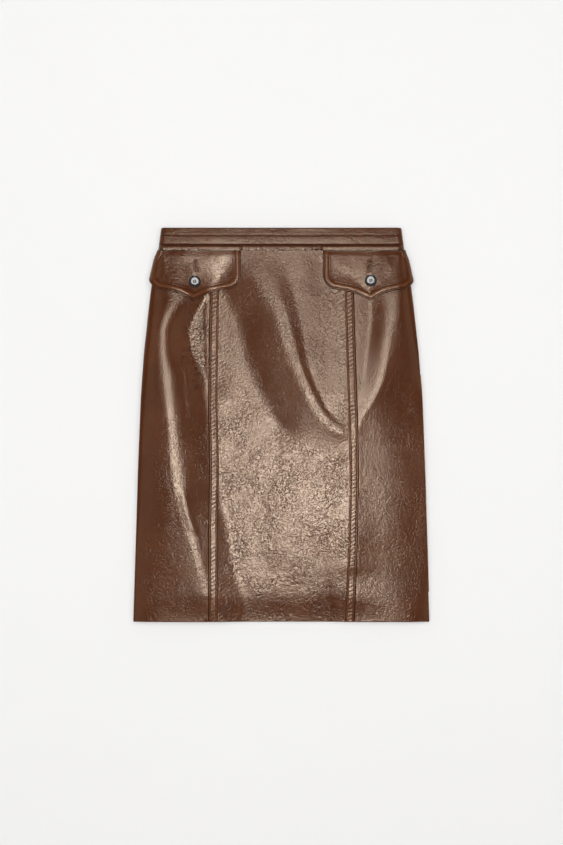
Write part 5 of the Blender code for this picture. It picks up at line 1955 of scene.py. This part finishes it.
@dataclass
class Studio:
    """Floor, soft lights, surroundings and the camera over the garment."""

    camera_height: float = 2.4
    view_height: float = 1.2844
    middle: tuple[float, float] = (0.0003, 0.0038)
    floor_half: float = 14.0
    panels: tuple[Panel, ...] = (
        Panel("strip_low", (0.0, -0.38, 4.4), (0.77, 0.66), 25.0),
        Panel("strip_middle", (0.0, 0.10, 4.4), (0.77, 0.30), 15.0),
        Panel("strip_high", (0.0, 0.625, 4.4), (0.77, 0.75), 7.5),
        Panel("left_panel", (-2.45, 0.10, 4.2), (2.1, 3.4), 0.8, True, (1.0, 0.93, 0.86)),
        Panel("right_panel", (2.75, 0.10, 4.2), (2.1, 3.4), 0.8, True, (1.0, 0.93, 0.86)),
        Panel("room_fill", (0.0, 0.8, 3.4), (6.0, 4.4), 1.29, False),
    )

    def floor(self) -> None:
        """The surface that the garment lies on."""
        mesh = bpy.data.meshes.new("floor")
        half = self.floor_half
        corners = [(-half, -half, 0), (half, -half, 0), (half, half, 0), (-half, half, 0)]
        mesh.from_pydata(corners, [], [(0, 1, 2, 3)])
        mesh.materials.append(StudioFloor().material())
        made = add_object("floor", mesh)

    def lights(self) -> None:
        """The panels overhead."""
        for panel in self.panels:
            lamp = bpy.data.lights.new(panel.name, "AREA")
            lamp.shape = "RECTANGLE"
            lamp.size, lamp.size_y = panel.size
            lamp.color = panel.colour
            lamp.energy = panel.radiance * math.pi * panel.size[0] * panel.size[1]
            made = add_object(panel.name, lamp)
            made.location = panel.place
            made.visible_camera = False
            made.visible_glossy = panel.in_gloss

    def surroundings(self) -> None:
        """A room that is dim overhead and pale all round."""
        world = bpy.data.worlds.new("studio_room")
        world.use_nodes = True
        tree = world.node_tree
        tree.nodes.clear()
        place = add_node(tree, "ShaderNodeTexCoord")
        split = add_node(tree, "ShaderNodeSeparateXYZ", {}, {0: place.outputs["Generated"]})
        fall = {"From Min": 0.05, "From Max": 0.75, "To Min": 0.86, "To Max": 0.06}
        settings = {"interpolation_type": "SMOOTHSTEP"}
        ramp = add_node(tree, "ShaderNodeMapRange", settings, {"Value": split.outputs["Z"], **fall})
        light = add_node(tree, "ShaderNodeBackground", {}, {"Strength": ramp.outputs[0]})
        add_node(tree, "ShaderNodeOutputWorld", {}, {"Surface": light.outputs[0]})
        bpy.context.scene.world = world

    def camera(self) -> None:
        """The camera straight above, with the waist at the top."""
        lens = bpy.data.cameras.new("camera")
        lens.sensor_fit = "VERTICAL"
        lens.angle = 2 * math.atan(self.view_height / 2 / self.camera_height)
        made = add_object("camera", lens)
        made.location = (*self.middle, self.camera_height)
        bpy.context.scene.camera = made
        bpy.context.scene.view_settings.view_transform = "Standard"


def main() -> None:
    """Builds and dresses every piece in order."""
    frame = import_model()
    studio = Studio()
    studio.camera()
    studio.floor()
    studio.lights()
    studio.surroundings()
    wardrobe = Wardrobe()
    tube = Tube()
    stitches = StitchNodes()
    panels = Panels(tube, wardrobe)
    panels.centre()
    for side in Side:
        panels.side(side)
        panels.back(side)
    band = Waistband(tube, wardrobe)
    band.front()
    for side in Side:
        band.back(side)
    flaps = Flaps(tube, wardrobe)
    buttons = Buttons(wardrobe)
    for flap in flaps.both():
        flaps.flap(flap)
        buttons.button(flap)
        buttons.threads(flap)
    sewn: tuple[tuple[str, list, StitchSize, Lay], ...] = (
        ("panel_topstitching", panels.stitch_lines, TOPSTITCH, Lay.ALONG),
        ("band_topstitching", band.stitch_lines, TOPSTITCH, Lay.ALONG),
        ("flap_topstitching", flaps.stitch_lines, TOPSTITCH, Lay.ALONG),
        ("buttonhole_stitching", flaps.hole_lines, WHIPSTITCH, Lay.ACROSS),
    )
    for name, lines, size, lay in sewn:
        made = stitches.sew(name, lines, size, lay, wardrobe.thread)
        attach(made, "garment")
        LOG.info("%s: %d faces", name, len(made.data.polygons))
    back_zip = BackZip(tube, wardrobe)
    back_zip.dress(frame["nodes"])
    back_zip.coil(stitches)


if __name__ == "__main__":
    logging.basicConfig(level=logging.INFO)
    main()
